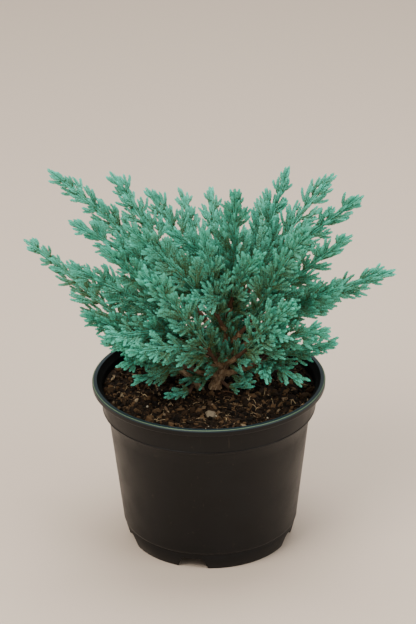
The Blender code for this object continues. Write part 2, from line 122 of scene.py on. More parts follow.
def arraysToMesh(name, verts, faceSets, smooth):
    # faceSets: pairs of a face array, one row a face, and the material number of each face
    loops = np.concatenate([faces.ravel() for faces, _ in faceSets])
    sizes = np.concatenate([np.full(len(faces), faces.shape[1]) for faces, _ in faceSets])
    starts = np.concatenate(([0], np.cumsum(sizes)[:-1]))
    tones = np.concatenate([tones for _, tones in faceSets])
    mesh = bpy.data.meshes.new(name)
    mesh.vertices.add(len(verts))
    mesh.vertices.foreach_set("co", np.ascontiguousarray(verts, np.float32).ravel())
    mesh.loops.add(len(loops))
    mesh.loops.foreach_set("vertex_index", loops.astype(np.int32))
    mesh.polygons.add(len(sizes))
    mesh.polygons.foreach_set("loop_start", starts.astype(np.int32))
    mesh.polygons.foreach_set("material_index", tones.astype(np.int32))
    mesh.polygons.foreach_set("use_smooth", np.full(len(sizes), smooth))
    mesh.update(calc_edges=True)
    return mesh


def unit(vectors):
    return vectors / np.linalg.norm(vectors, axis=-1, keepdims=True)


def dot(first, second):
    return (first * second).sum(-1, keepdims=True)


# Materials. Every shared effect is a node group that puts out values and colours only.

def newGroup(name, inputs, outputs):
    tree = bpy.data.node_groups.new(name, "ShaderNodeTree")
    for socketName, kind, value in inputs:
        socket = tree.interface.new_socket(socketName, in_out="INPUT", socket_type=kind)
        if value is not None:
            socket.default_value = value
    for socketName, kind in outputs:
        tree.interface.new_socket(socketName, in_out="OUTPUT", socket_type=kind)
    return tree, tree.nodes.new("NodeGroupInput"), tree.nodes.new("NodeGroupOutput")


def joinAll(tree, source, result, links):
    # links: node and output, node and input; None stands for the group's own ends
    for first, output, second, socket in links:
        tree.links.new((first or source).outputs[output], (second or result).inputs[socket])
    return tree


def makeMottleGroup():
    tree, source, result = newGroup(
        "mottle",
        (("Vector", "NodeSocketVector", None), ("Scale", "NodeSocketFloat", 100.0),
         ("Low", "NodeSocketFloat", 0.35), ("High", "NodeSocketFloat", 0.65),
         ("Dark", "NodeSocketColor", (0, 0, 0, 1)), ("Light", "NodeSocketColor", (1, 1, 1, 1))),
        (("Color", "NodeSocketColor"), ("Mask", "NodeSocketFloat")))
    cloud = tree.nodes.new("ShaderNodeTexNoise")
    cloud.inputs["Detail"].default_value = 6
    cloud.inputs["Roughness"].default_value = 0.6
    spread = tree.nodes.new("ShaderNodeMapRange")
    blend = tree.nodes.new("ShaderNodeMix")
    blend.data_type = "RGBA"
    return joinAll(tree, source, result, (
        (None, "Vector", cloud, "Vector"), (None, "Scale", cloud, "Scale"),
        (cloud, "Fac", spread, "Value"), (None, "Low", spread, "From Min"),
        (None, "High", spread, "From Max"), (spread, "Result", blend, "Factor"),
        (None, "Dark", blend, "A"), (None, "Light", blend, "B"),
        (blend, "Result", None, "Color"), (spread, "Result", None, "Mask")))


def makeStrandGroup():
    # long thin streaks: strips of bark, scratches in plastic
    tree, source, result = newGroup(
        "strands",
        (("Vector", "NodeSocketVector", None), ("Stretch", "NodeSocketVector", (1, 1, 1)),
         ("Low", "NodeSocketFloat", 0.4), ("High", "NodeSocketFloat", 0.6)),
        (("Mask", "NodeSocketFloat"), ("Height", "NodeSocketFloat")))
    stretch = tree.nodes.new("ShaderNodeVectorMath")
    stretch.operation = "MULTIPLY"
    streak = tree.nodes.new("ShaderNodeTexNoise")
    streak.inputs["Scale"].default_value = 1
    streak.inputs["Detail"].default_value = 5
    streak.inputs["Distortion"].default_value = 0.6
    spread = tree.nodes.new("ShaderNodeMapRange")
    return joinAll(tree, source, result, (
        (None, "Vector", stretch, 0), (None, "Stretch", stretch, 1),
        (stretch, "Vector", streak, "Vector"), (streak, "Fac", spread, "Value"),
        (None, "Low", spread, "From Min"), (None, "High", spread, "From Max"),
        (spread, "Result", None, "Mask"), (streak, "Fac", None, "Height")))


mottleGroup = makeMottleGroup()
strandGroup = makeStrandGroup()


class MaterialMaker:
    # a Principled material and short calls that add and join its nodes; a sheen is a pair of
    # roughness and specular level
    def __init__(self, name, colour, sheen):
        self.material = bpy.data.materials.new(name)
        self.material.use_nodes = True
        self.tree = self.material.node_tree
        self.shader = self.tree.nodes["Principled BSDF"]
        self.shader.inputs["Base Color"].default_value = colour
        self.shader.inputs["Roughness"].default_value = sheen[0]
        self.shader.inputs["Specular IOR Level"].default_value = sheen[1]

    def add(self, kind, values=(), **settings):
        node = self.tree.nodes.new(kind)
        for setting, value in settings.items():
            setattr(node, setting, value)
        for socket, value in dict(values).items():
            node.inputs[socket].default_value = value
        return node

    def group(self, tree, vector, values):
        node = self.add("ShaderNodeGroup", values, node_tree=tree)
        self.join(vector, node.inputs["Vector"])
        return node

    def join(self, output, socket):
        self.tree.links.new(output, socket)

    def bump(self, height, strength, distance):
        node = self.add("ShaderNodeBump", {"Strength": strength, "Distance": distance})
        self.join(height, node.inputs["Height"])
        self.join(node.outputs["Normal"], self.shader.inputs["Normal"])

    def overlay(self, base, mask, amount, colour):
        # the base colour with another over it where the mask is, at most by the amount
        fade = self.add("ShaderNodeMath", {1: amount}, operation="MULTIPLY")
        mix = self.add("ShaderNodeMix", {"B": colour}, data_type="RGBA")
        self.join(mask, fade.inputs[0])
        self.join(fade.outputs["Value"], mix.inputs["Factor"])
        self.join(base, mix.inputs["A"])
        self.join(mix.outputs["Result"], self.shader.inputs["Base Color"])


def plainMaterial(name, colour, sheen):
    return MaterialMaker(name, colour, sheen).material


def toneMaterials(name, tones, sheen):
    return [plainMaterial(f"{name}{i}", tone, sheen) for i, tone in enumerate(tones)]


# Pot

potLook = {
    "black": rgb(12, 12, 13), "worn": rgb(18, 18, 19), "dust": rgb(74, 64, 50),
    # edge: pale painted highlight along the rim's outer edge
    # inside: near-black painted shade for the inner wall above the compost
    # lip: dark teal painted reflection on the rim's flat top
    "inside": rgb(4, 4, 3), "lip": rgb(24, 41, 48), "edge": rgb(104, 124, 92),
    "filmScale": 38, "scratches": (900, 900, 60), "speckScale": 260, "dustAmount": 0.35,
    "roughness": (0.36, 0.52), "grainScale": 1500, "grainBump": (0.25, 0.0002),
    "sheen": (0.40, 0.20), "insideSheen": (0.75, 0.1), "lipSheen": (0.42, 0.35),
    "edgeSheen": (0.6, 0.3),
    # how far the lip's painted reflection and the edge's painted highlight reach down from the top
    # and in from the rim
    "reflectionDepth": 0.0016, "highlightDepth": 0.0004, "highlightWidth": 0.0013, "sharpAngle": 35,
    "rimInner": 0.0812, "lipHeight": 0.0047, "collarHeight": 0.0178,
    "collarTop": 0.0791, "collarFoot": 0.0775, "bodyTop": 0.0740, "bodyFoot": 0.0646,
    "step": 0.0015, "corner": 0.0150, "crease": 0.0636, "footHeight": 0.0108,
    "footTop": 0.0630, "foot": 0.0603, "footWall": 0.0018, "wall": 0.0013,
    "floor": 0.0100, "floorTop": 0.0112, "turnSteps": 192,
    # roundings of the edges
    "bead": 0.0005, "rimRound": 0.0012, "lipRound": 0.0006, "underRound": 0.0008,
    "floorRound": 0.004, "cornerRound": 0.0036, "cornerRise": 0.003, "footRound": 0.0005,
    "notches": (-72, -12.5, 70, 145, 217),      # degrees from the front towards +X
    "notchFoot": 0.024, "notchTop": 0.015, "notchHeight": 0.0092, "notchBlock": 0.014,
    "notchRound": 0.002, "cutterRoom": 0.002,
    "holes": 5, "holeRadius": 0.0042, "holeRing": 0.044, "holeDepth": 0.005,
}


def arc(centre, radius, first, last, count):
    # points of an arc in the turning plane, angles in degrees from +X
    angles = [math.radians(first + (last - first) * i / (count - 1)) for i in range(count)]
    return [(centre[0] + radius * math.cos(a), centre[1] + radius * math.sin(a)) for a in angles]


def potOutline(look):
    # from the middle of the floor inside, over the lip and down to the middle underneath
    top, wall, bead, edge = potHeight, look["wall"], look["bead"], look["rimRound"]
    lip, under, foot = look["lipRound"], look["underRound"], look["footRound"]
    lipFoot = top - look["lipHeight"]
    collarZ = lipFoot - look["collarHeight"]
    stepZ = collarZ - look["step"]
    line = [(0.0, look["floorTop"])]
    line += arc((look["crease"] - wall - look["floorRound"], look["floorTop"] + look["floorRound"]),
                look["floorRound"], -90, -20, 6)
    line += [(look["bodyFoot"] - wall, look["corner"] + look["cornerRise"]),
             (look["bodyTop"] - wall, stepZ), (look["collarFoot"] - wall, collarZ + wall),
             (look["collarTop"] - wall, lipFoot + under)]
    line += arc((look["rimInner"] + lip, top - lip), lip, 180, 90, 5)
    line += [(rimRadius - edge - 0.0008, top - 0.0001)]
    line += arc((rimRadius - edge, top - edge - 0.0001), edge, 80, 0, 7)
    line += arc((rimRadius - under - 0.0001, lipFoot + under), under, 0, -90, 5)
    line += [(look["collarTop"] + lip, lipFoot), (look["collarTop"], lipFoot - lip),
             (look["collarFoot"] + 0.0002, collarZ + 4 * bead)]
    line += arc((look["collarFoot"], collarZ + 2 * bead), bead, 70, -70, 6)
    line += arc((look["collarFoot"] - under, collarZ), under, 0, -60, 4)
    line += [(look["bodyTop"] + lip, stepZ + 0.0002), (look["bodyTop"], stepZ - lip)]
    line += [(look["bodyTop"] + (look["bodyFoot"] - look["bodyTop"]) * i / 8,
              stepZ + (look["corner"] + 0.002 - stepZ) * i / 8) for i in range(1, 9)]
    line += arc((look["bodyFoot"] - look["cornerRound"], look["corner"] + 0.0012),
                look["cornerRound"], 0, -62, 7)
    line += [(look["crease"] - 0.0008, look["footHeight"]),
             (look["footTop"], look["footHeight"] - 0.0009), (look["foot"] + 0.0003, 0.0010)]
    line += arc((look["foot"] - foot, foot), foot, 0, -90, 4)
    line += arc((look["foot"] - look["footWall"] + foot, foot), foot, 270, 180, 4)
    return line + [(look["footTop"] - look["footWall"], look["floor"]), (0.0, look["floor"])]


def cutAway(piece, cutters):
    # cuts a piece by every object of a collection and keeps the result
    modifier = piece.modifiers.new("cut", "BOOLEAN")
    modifier.operation = "DIFFERENCE"
    modifier.operand_type = "COLLECTION"
    modifier.collection = cutters
    bpy.context.view_layer.update()
    depsgraph = bpy.context.evaluated_depsgraph_get()
    mesh = bpy.data.meshes.new_from_object(piece.evaluated_get(depsgraph))
    bpy.data.objects.remove(piece)
    for cutter in list(cutters.objects):
        bpy.data.objects.remove(cutter)
    bpy.data.collections.remove(cutters)
    return mesh


def potCutters(look):
    cutters = bpy.data.collections.new("potCutters")
    bpy.context.scene.collection.children.link(cutters)
    for angle in look["notches"]:
        bm = bmesh.new()
        block = bmesh.ops.create_cube(bm, size=1)["verts"]
        for vert in block:
            width, height = ((look["notchTop"], look["notchHeight"]) if vert.co.z > 0
                             else (look["notchFoot"], -look["cutterRoom"]))
            vert.co = (vert.co.x * width, -look["foot"] + vert.co.y * look["notchBlock"], height)
        topSides = [e for e in bm.edges if e.verts[0].co.z > 0
                    and abs(e.verts[0].co.y - e.verts[1].co.y) > look["notchBlock"] / 2]
        bmesh.ops.bevel(bm, geom=topSides, offset=look["notchRound"], offset_type="OFFSET",
                        segments=3, profile=0.5, affect="EDGES", material=-1)
        bmesh.ops.rotate(bm, verts=bm.verts, matrix=Matrix.Rotation(math.radians(angle), 3, "Z"))
        cutters.objects.link(bpy.data.objects.new("notch", bmeshToMesh(bm, "notch")))
    for i in range(look["holes"]):
        angle = math.tau * (i + 0.5) / look["holes"]
        bm = bmesh.new()
        bmesh.ops.create_cone(bm, cap_ends=True, segments=32, radius1=look["holeRadius"],
                              radius2=look["holeRadius"], depth=look["holeDepth"])
        bmesh.ops.translate(bm, verts=bm.verts, vec=(
            look["holeRing"] * math.cos(angle), look["holeRing"] * math.sin(angle),
            (look["floor"] + look["floorTop"]) / 2))
        cutters.objects.link(bpy.data.objects.new("hole", bmeshToMesh(bm, "hole")))
    return cutters


def makePotMaterial(look):
    # dull black with a grey film, thin scratches and a little dust
    maker = MaterialMaker("blackPlastic", look["black"], look["sheen"])
    place = maker.add("ShaderNodeTexCoord").outputs["Object"]
    film = maker.group(mottleGroup, place, {"Scale": look["filmScale"], "Low": 0.42, "High": 0.72,
                                            "Dark": look["black"], "Light": look["worn"]})
    scratches = maker.group(strandGroup, place,
                            {"Stretch": look["scratches"], "Low": 0.68, "High": 0.78})
    specks = maker.group(mottleGroup, place,
                         {"Scale": look["speckScale"], "Low": 0.66, "High": 0.74})
    marks = maker.add("ShaderNodeMath", operation="ADD", use_clamp=True)
    rough = maker.add("ShaderNodeMapRange", dict(zip(("To Min", "To Max"), look["roughness"])))
    grain = maker.add("ShaderNodeTexNoise", {"Scale": look["grainScale"], "Detail": 3})
    maker.join(place, grain.inputs["Vector"])
    maker.join(scratches.outputs["Mask"], marks.inputs[0])
    maker.join(specks.outputs["Mask"], marks.inputs[1])
    maker.overlay(film.outputs["Color"], marks.outputs["Value"], look["dustAmount"], look["dust"])
    maker.join(film.outputs["Mask"], rough.inputs["Value"])
    maker.join(rough.outputs["Result"], maker.shader.inputs["Roughness"])
    maker.bump(grain.outputs["Fac"], *look["grainBump"])
    return maker.material


def makePot(look):
    blank = linked("blank", bmeshToMesh(turned(potOutline(look), look["turnSteps"]), "blank"))
    mesh = cutAway(blank, potCutters(look))
    mesh.name = "nurseryPot"
    shadeSmooth(mesh, look["sharpAngle"])
    for face in mesh.polygons:
        x, y, z = face.center
        radius = math.hypot(x, y)
        inward = face.normal.x * x + face.normal.y * y < -0.2 * radius      # faces the axis
        # the inner wall above the floor takes the near-black painted shade
        if inward and z > look["floorTop"]:
            face.material_index = 1
        # a thin ring at the rim's outer edge takes the pale painted highlight
        elif z > potHeight - look["highlightDepth"] and radius > rimRadius - look["highlightWidth"]:
            face.material_index = 3
        # the rim's top takes the teal painted reflection
        elif z > potHeight - look["reflectionDepth"]:
            face.material_index = 2
    materials = [makePotMaterial(look),
                 plainMaterial("potInsidePaintedShade", look["inside"], look["insideSheen"]),
                 plainMaterial("potLipPaintedReflection", look["lip"], look["lipSheen"]),
                 plainMaterial("potEdgePaintedHighlight", look["edge"], look["edgeSheen"])]
    addPiece("nurseryPot", mesh, materials, ["pot"])
    print("pot:", len(mesh.polygons), "faces")


makePot(potLook)


# Plan of the plant

plan = {
    "gap": 0.0003,
    "heart": (0.004, 0.0, 0.125),           # tips are placed from here by azimuth, climb, reach
    "trunk": ((0.0040, 0.000, 0.0000, 0.0060), (0.0040, 0.000, 0.0016, 0.0047),
              (0.0060, 0.000, 0.0052, 0.0039), (0.0095, 0.000, 0.0130, 0.0035),
              (0.0130, 0.001, 0.0240, 0.0033), (0.0138, 0.002, 0.0360, 0.0030),
              (0.0138, 0.002, 0.0480, 0.0027), (0.0156, 0.001, 0.0620, 0.0023),
              (0.0166, 0.000, 0.0700, 0.0021)),
    "leftStem": ((-0.0062, -0.0040, 0.0000, 0.0034), (-0.0062, -0.0040, 0.0014, 0.0027),
                 (-0.0100, -0.0045, 0.0056, 0.0024), (-0.0135, -0.0050, 0.0112, 0.0023),
                 (-0.0185, -0.0055, 0.0155, 0.0021), (-0.0285, -0.0065, 0.0245, 0.0019)),
    "trunkTipPlumes": ((-63, 78, 0.164), (-150, 73, 0.134), (60, 76, 0.132)),
    "leftTipPlumes": ((164, 33.5, 0.171), (-151, 36, 0.130), (-142, 23, 0.090),
                      (178, 20, 0.085)),
    # name, share of the trunk, azimuth, climb, length, plumes of its mass
    "boughs": (
        ("southwest_low", 0.14, -158, 24, 0.021, ((-152, 12, 0.066), (-141, 33, 0.104))),
        ("east_low", 0.17, -16, 22, 0.026, ((-19, 24, 0.102), (-33, 12, 0.076), (-52, 22, 0.063))),
        ("northwest_low", 0.22, 146, 20, 0.026, ((138, 22, 0.126), (172, 16, 0.082))),
        ("fork_left", 0.24, -118, 44, 0.017, ((-118, 50, 0.167), (-128, 31, 0.116))),
        ("southeast_low", 0.29, -52, 36, 0.018, ((-38, 33, 0.122), (-56, 44, 0.140))),
        ("southwest", 0.33, -156, 40, 0.022,
         ((-134, 33, 0.132), (-147, 54, 0.157), (-168, 44, 0.146))),
        ("east", 0.37, 4, 40, 0.022, ((0, 33, 0.155), (-24, 42, 0.134), (22, 25, 0.128))),
        ("north", 0.40, 92, 34, 0.022, ((91, 50, 0.146), (103, 22, 0.104), (72, 38, 0.126))),
        ("west_up", 0.50, 166, 48, 0.024, ((161, 50, 0.194), (-174, 52, 0.165), (146, 58, 0.168))),
        ("southeast", 0.51, -42, 44, 0.018, ((-46, 57, 0.176), (-28, 51, 0.172), (-52, 37, 0.104))),
        ("northeast", 0.56, 50, 44, 0.020, ((43, 62, 0.163), (66, 47, 0.147), (52, 20, 0.120))),
        ("northwest", 0.60, 122, 46, 0.020,
         ((128, 58, 0.147), (107, 56, 0.142), (126, 32, 0.136))),
        ("south", 0.64, -112, 44, 0.015, ((-101, 75, 0.137), (-132, 59, 0.176))),
        ("east_up", 0.72, 6, 56, 0.018, ((-6, 54, 0.181), (25, 56, 0.172))),
        ("front_up", 0.85, -84, 50, 0.011, ((-110, 58, 0.100), (-60, 62, 0.140))),
    ),
    # name, stem, share of it, its radius there, azimuth, climb, length
    "footSprays": (("foot_left", "leftStem", 0.24, 0.00235, -128, 4, 0.026),
                   ("foot_right", "trunk", 0.11, 0.00375, -34, 10, 0.025)),
    "boughRootRadius": 0.0023, "boughTipRadius": 0.0018, "boughRise": 14, "boughPieces": 4,
    "stubLength": 0.008, "stubTipRadius": 0.0013, "plumeStart": 0.55, "plumeStartLater": 0.10,
    "stubPull": 0.65, "plumeBend": 0.30, "plumeEase": 0.33, "plumeDroop": 7,
}


def heading(azimuth, climb):
    azimuth, climb = math.radians(azimuth), math.radians(climb)
    return Vector((math.cos(climb) * math.cos(azimuth), math.cos(climb) * math.sin(azimuth),
                   math.sin(climb)))


def along(points, share):
    # point at a share of a route's length, and the route's heading there
    left = share * sum((b - a).length for a, b in zip(points, points[1:]))
    for first, second in zip(points, points[1:]):
        piece = second - first
        if left <= piece.length:
            break
        left -= piece.length
    return first + piece.normalized() * left, piece.normalized()


def planLimbs():
    limbs = {}
    for name in ("trunk", "leftStem"):
        limbs[name] = {
            "points": [Vector((x, y, soilLevel + plan["gap"] + z)) for x, y, z, _ in plan[name]],
            "radii": [radius for *_, radius in plan[name]]}
    pieces = plan["boughPieces"]
    for name, share, azimuth, climb, length, _ in plan["boughs"]:
        points = [along(limbs["trunk"]["points"], share)[0]]
        for i in range(pieces):
            rise = climb + plan["boughRise"] * (i / (pieces - 1) - 0.5)
            points.append(points[-1] + heading(azimuth, rise) * length / pieces)
        radii = [plan["boughRootRadius"] + (plan["boughTipRadius"] - plan["boughRootRadius"])
                 * i / pieces for i in range(pieces + 1)]
        limbs["bough_" + name] = {"points": points, "radii": radii}
    return limbs


def plumeCurve(start, forward, tip):
    # the four control points of a plume's stem
    chord = tip - start
    flat = math.degrees(math.atan2(chord.z, math.hypot(chord.x, chord.y)))
    azimuth = math.degrees(math.atan2(chord.y, chord.x))
    first = forward.lerp(heading(azimuth, flat + plan["plumeDroop"]), 1 - plan["stubPull"])
    last = heading(azimuth, flat - plan["plumeDroop"])
    return np.array((start, start + first * chord.length * plan["plumeBend"],
                     tip - last * chord.length * plan["plumeEase"], tip))


def planMass(name, limb, root, forward, radius, tips):
    fork = root + forward * plan["stubLength"]
    curves = [plumeCurve(root.lerp(fork, plan["plumeStart"] + plan["plumeStartLater"] * i),
                         forward, tip) for i, tip in enumerate(tips)]
    return {"name": name, "limb": limb, "root": root, "fork": fork, "radius": radius,
            "curves": curves}


def planMasses(limbs):
    heart = Vector(plan["heart"])
    groups = [("crown_top", "trunk", plan["trunkTipPlumes"]),
              ("crown_west", "leftStem", plan["leftTipPlumes"])]
    groups += [("crown_" + row[0], "bough_" + row[0], row[5]) for row in plan["boughs"]]
    masses = []
    for name, limbName, rows in groups:
        limb = limbs[limbName]
        end = limb["points"][-1]
        forward = (end - limb["points"][-2]).normalized()
        tips = [heart + heading(azimuth, climb) * reach for azimuth, climb, reach in rows]
        masses.append(planMass(name, limbName, end, forward, limb["radii"][-1], tips))
    for name, stem, share, radius, azimuth, climb, length in plan["footSprays"]:
        centre, grain = along(limbs[stem]["points"], share)
        forward = heading(azimuth, climb + plan["plumeDroop"])
        forward = (forward - grain * forward.dot(grain)).normalized()
        root = centre + forward * radius
        tip = root + heading(azimuth, climb) * length
        masses.append(planMass(name, None, root, forward, plan["stubTipRadius"], [tip]))
    return masses


limbs = planLimbs()
masses = planMasses(limbs)


# Trunk, second stem and boughs: swept rings with the bark's relief in the mesh

barkLook = {
    "deep": rgb(94, 71, 50), "mid": rgb(174, 140, 106), "pale": rgb(226, 200, 168),
    "ringStep": 0.0007, "trunkSides": 44, "boughSides": 28, "capRise": 0.5, "capSize": 0.55,
    # depths are shares of the radius; the flare is only on limbs that start thicker than this
    "ridges": 7.0, "ridgeLength": 190.0, "ridgeDepth": 0.10,
    "flakeSize": 420.0, "flakeDepth": 0.06, "knotSize": 110.0, "knotDepth": 0.10,
    "flakeFrom": 0.08, "flare": 0.35, "flareHeight": 0.006, "flareFrom": 0.0045,
    "patchScale": 300, "strips": (26, 1.6, 1), "stripAmount": 0.55, "bump": (0.8, 0.0005),
    "mapScale": 100, "sheen": (0.85, 0.25), "sharpAngle": 60, "seedStep": 3.7,
}


def routeRings(points, radii, step):
    # rings at even steps on a smooth line through the points: centre, heading, radius, length
    spans = list(zip(points, points[1:]))
    lengths = [(b - a).length for a, b in spans]
    count = max(6, round(sum(lengths) / step))
    knots = [sum(lengths[:i]) for i in range(len(points))]
    x, y, z = (np.array([p[axis] for p in points]) for axis in range(3))
    places = np.linspace(0, knots[-1], count)
    soft = max(3, count // len(points) // 2)
    window = np.hanning(2 * soft + 1)
    window /= window.sum()

    def smoothed(values):
        line = np.interp(places, knots, values)
        first = line[0] - (line[1] - line[0]) * np.arange(soft, 0, -1)
        last = line[-1] + (line[-1] - line[-2]) * np.arange(1, soft + 1)
        return np.convolve(np.concatenate((first, line, last)), window, "valid")
    centres = [Vector(c) for c in zip(smoothed(x), smoothed(y), smoothed(z))]
    sizes = smoothed(np.array(radii))
    headings = []
    for i in range(count):
        before, after = centres[max(i - 1, 0)], centres[min(i + 1, count - 1)]
        headings.append((after - before).normalized())
    return list(zip(centres, headings, sizes, places))


def ringMatrix(centre, direction, radius):
    side = direction.cross(Vector((0.31, 0.95, 0.05))).normalized()     # no limb runs this way
    turn = Matrix((side, direction.cross(side), direction)).transposed().to_4x4()
    return Matrix.Translation(centre) @ turn @ Matrix.Diagonal((radius, radius, radius, 1))


def barkRelief(look, angle, length, radius, seed):
    # how far the bark stands out of the round limb, as a share of its radius
    around = Vector((math.cos(angle), math.sin(angle), 0))
    ridge = noise.noise(Vector((around.x * look["ridges"] / 2, around.y * look["ridges"] / 2,
                                length * look["ridgeLength"] + seed)))
    flake = noise.noise(Vector((around.x * 3, around.y * 3, length * look["flakeSize"] + seed)))
    flake = flake ** 0.5 if flake > look["flakeFrom"] else 0.0
    knot = noise.noise(Vector((around.x, around.y, length * look["knotSize"] + seed * 2)))
    flare = look["flare"] * math.exp(-length / look["flareHeight"])
    flare = flare if radius > look["flareFrom"] else 0.0
    root = noise.noise(Vector((around.x * 1.6, around.y * 1.6, seed)))
    return (look["ridgeDepth"] * (abs(ridge) * 2 - 0.4) + look["flakeDepth"] * flake
            + look["knotDepth"] * knot + flare * root)


def sweepLimb(name, limb, sides, look, seed):
    rings = routeRings(limb["points"], limb["radii"], look["ringStep"])
    centre, direction, size, _ = rings[-1]
    rings.append((centre + direction * size * look["capRise"], direction,
                  size * look["capSize"], rings[-1][3] + size))
    bm = bmesh.new()
    ring = bmesh.ops.create_circle(bm, cap_ends=False, segments=sides, radius=1)["verts"]
    edges = list(bm.edges)
    old = Matrix.Identity(4)
    placed = {}
    for centre, direction, size, length in rings:
        new = ringMatrix(centre, direction, size)
        if placed:
            grown = bmesh.ops.extrude_edge_only(bm, edges=edges)["geom"]
            ring = [item for item in grown if isinstance(item, bmesh.types.BMVert)]
            edges = [item for item in grown if isinstance(item, bmesh.types.BMEdge)]
        bmesh.ops.transform(bm, matrix=new @ old.inverted(), verts=ring, space=Matrix.Identity(4))
        back = new.inverted()
        for vert in ring:
            spot = back @ vert.co
            placed[vert] = (math.atan2(spot.y, spot.x), length, centre.copy(), size)
        old = new
    mapping = bm.loops.layers.uv.new("barkMap")
    for face in bm.faces:
        angles = [placed[loop.vert][0] for loop in face.loops]
        wraps = max(angles) - min(angles) > math.pi
        for loop, angle in zip(face.loops, angles):
            angle += math.tau if wraps and angle < 0 else 0
            loop[mapping].uv = (angle / math.tau, placed[loop.vert][1] * look["mapScale"])
    for vert, (angle, length, centre, size) in placed.items():
        relief = barkRelief(look, angle, length, limb["radii"][0], seed)
        vert.co += (vert.co - centre) * relief
    bmesh.ops.holes_fill(bm, edges=[edge for edge in bm.edges if edge.is_boundary], sides=sides)
    bmesh.ops.recalc_face_normals(bm, faces=bm.faces)
    return bmeshToMesh(bm, name, look["sharpAngle"])


def makeBarkMaterial(look):
    maker = MaterialMaker("flakingBark", look["mid"], look["sheen"])
    mapped = maker.add("ShaderNodeUVMap", uv_map="barkMap").outputs["UV"]
    place = maker.add("ShaderNodeTexCoord").outputs["Object"]
    patches = maker.group(mottleGroup, place, {
        "Scale": look["patchScale"], "Low": 0.36, "High": 0.62,
        "Dark": look["deep"], "Light": look["mid"]})
    strips = maker.group(strandGroup, mapped,
                         {"Stretch": look["strips"], "Low": 0.55, "High": 0.74})
    maker.overlay(patches.outputs["Color"], strips.outputs["Mask"], look["stripAmount"],
                  look["pale"])
    maker.bump(strips.outputs["Height"], *look["bump"])
    return maker.material


def makeWood(look):
    bark = makeBarkMaterial(look)
    names = {"trunk": "trunk", "leftStem": "left_stem"}
    for number, (name, limb) in enumerate(limbs.items()):
        sides = look["trunkSides"] if name in names else look["boughSides"]
        mesh = sweepLimb(name + "Bark", limb, sides, look, look["seedStep"] * number)
        addPiece(name + "Bark", mesh, [bark], [names.get(name, name)])
    print("wood:", len(limbs), "limbs")


makeWood(barkLook)


# Foliage. A plume's stem carries sprays, a spray carries shoots, and all of them carry needles
# in whorls. Each level is held as arrays, one row a limb: root, way, bend, side and so on, and
# the point at share t of a limb is root + way * t + bend * t * t.

growth = {
    "seed": 23, "turn": 137.5,              # degrees from one spray to the next
    "sprayStep": 0.0047, "sprayStart": 0.06, "sprayStartLater": 0.03, "sprayEnd": 0.915,
    "sprayLength": 0.0270, "shortestSpray": 0.0065, "sprayRoom": 0.68,
    "sprayOpen": 38, "sprayClose": 18, "sprayLift": 0.03, "sprayCrowd": 0.85,
    "front": (0.0, -0.906, 0.423), "frontTurn": 50, "tipCloser": 12, "closerFrom": (0.70, 0.95),
    # sprays are smaller on short plumes, and swell and shrink along each plume
    "fullPlume": 0.100, "plumeScale": (0.32, 0.68),
    "swellPlaces": (0, 0.12, 0.3, 0.5, 0.75, 0.9, 1.0),
    "swell": (0.6, 0.95, 1.0, 0.80, 0.54, 0.46, 0.40),
    "sprayChoices": (0.75, 0.92, 1.02, 1.12), "sprayOdds": (0.22, 0.28, 0.34, 0.16),
    # short shoots that lie along a plume's stem
    "stemShootStep": 0.0034, "stemShootStart": 0.16, "stemShootEnd": 0.92,
    "stemShootLength": 0.0085, "stemShootOpen": 32, "stemShootClose": 12,
    # shoots of a spray: they shorten towards its tip and keep within what is left of it
    "shootStep": 0.0040, "shootStart": 0.10, "bareTip": 0.006, "shootShare": 0.46,
    "shootTaper": 1.05, "shootExtra": 0.0050, "shortestShoot": 0.0075, "longestShoot": 0.0150,
    "shootRoom": 0.95, "tipShoot": 0.0045, "shootOpen": 37, "shootClose": 14, "shootPull": 0.25,
    "stemRadius": 0.00095, "stemTipRadius": 0.0004,
    "sprayRadius": 0.00055, "sprayTipRadius": 0.00030, "shootRadius": 0.00032,
    # sprays on the limbs themselves: how many, where they start, their length
    "limbSprays": {"trunk": 14, "leftStem": 3, "bough": 6},
    "limbSprayStart": {"trunk": 0.40, "leftStem": 0.60, "bough": 0.18}, "limbSprayEnd": 1.03,
    "limbSprayLength": 0.017, "limbSprayOpen": 55, "limbSprayClose": 30, "limbSprayLift": 0.25,
    "limbSprayShare": 0.2,
    # tint at the foot of a plume or spray, and what it gains up to the tip; the lighter tips are
    # fresh growth, while the darker feet and the low tint of the sprays on the limbs are painted
    # shade of the crown's inside
    "sprayTint": (0.23, 0.39), "stemShootTint": (0.30, 0.38), "shootTintGain": 0.22,
    "limbSprayTint": (0.25, 0.0),
    # sprays lie in the crown's own shade low down: heights, and what they change in tint
    "shadeHeights": (0.125, 0.175, 0.250), "shade": (-0.14, -0.05, 0.0),
    # random play to both sides, in degrees or tint, and ranges of size
    "turnPlay": 18, "openPlay": 8, "shootClosePlay": 6, "fanPlay": 50,
    "tintPlay": 0.10, "stemShootTintPlay": 0.08, "shootTintPlay": 0.05,
    "spraySizes": (0.9, 1.1), "stemShootSizes": (0.8, 1.2), "shootSizes": (0.85, 1.1),
    "limbSpraySizes": (0.75, 1.25),
    # height kept over the compost, and over the rim between these radii
    "overSoil": 0.0015, "overRim": 0.001, "rimInside": 0.072, "rimOutside": 0.003,
}
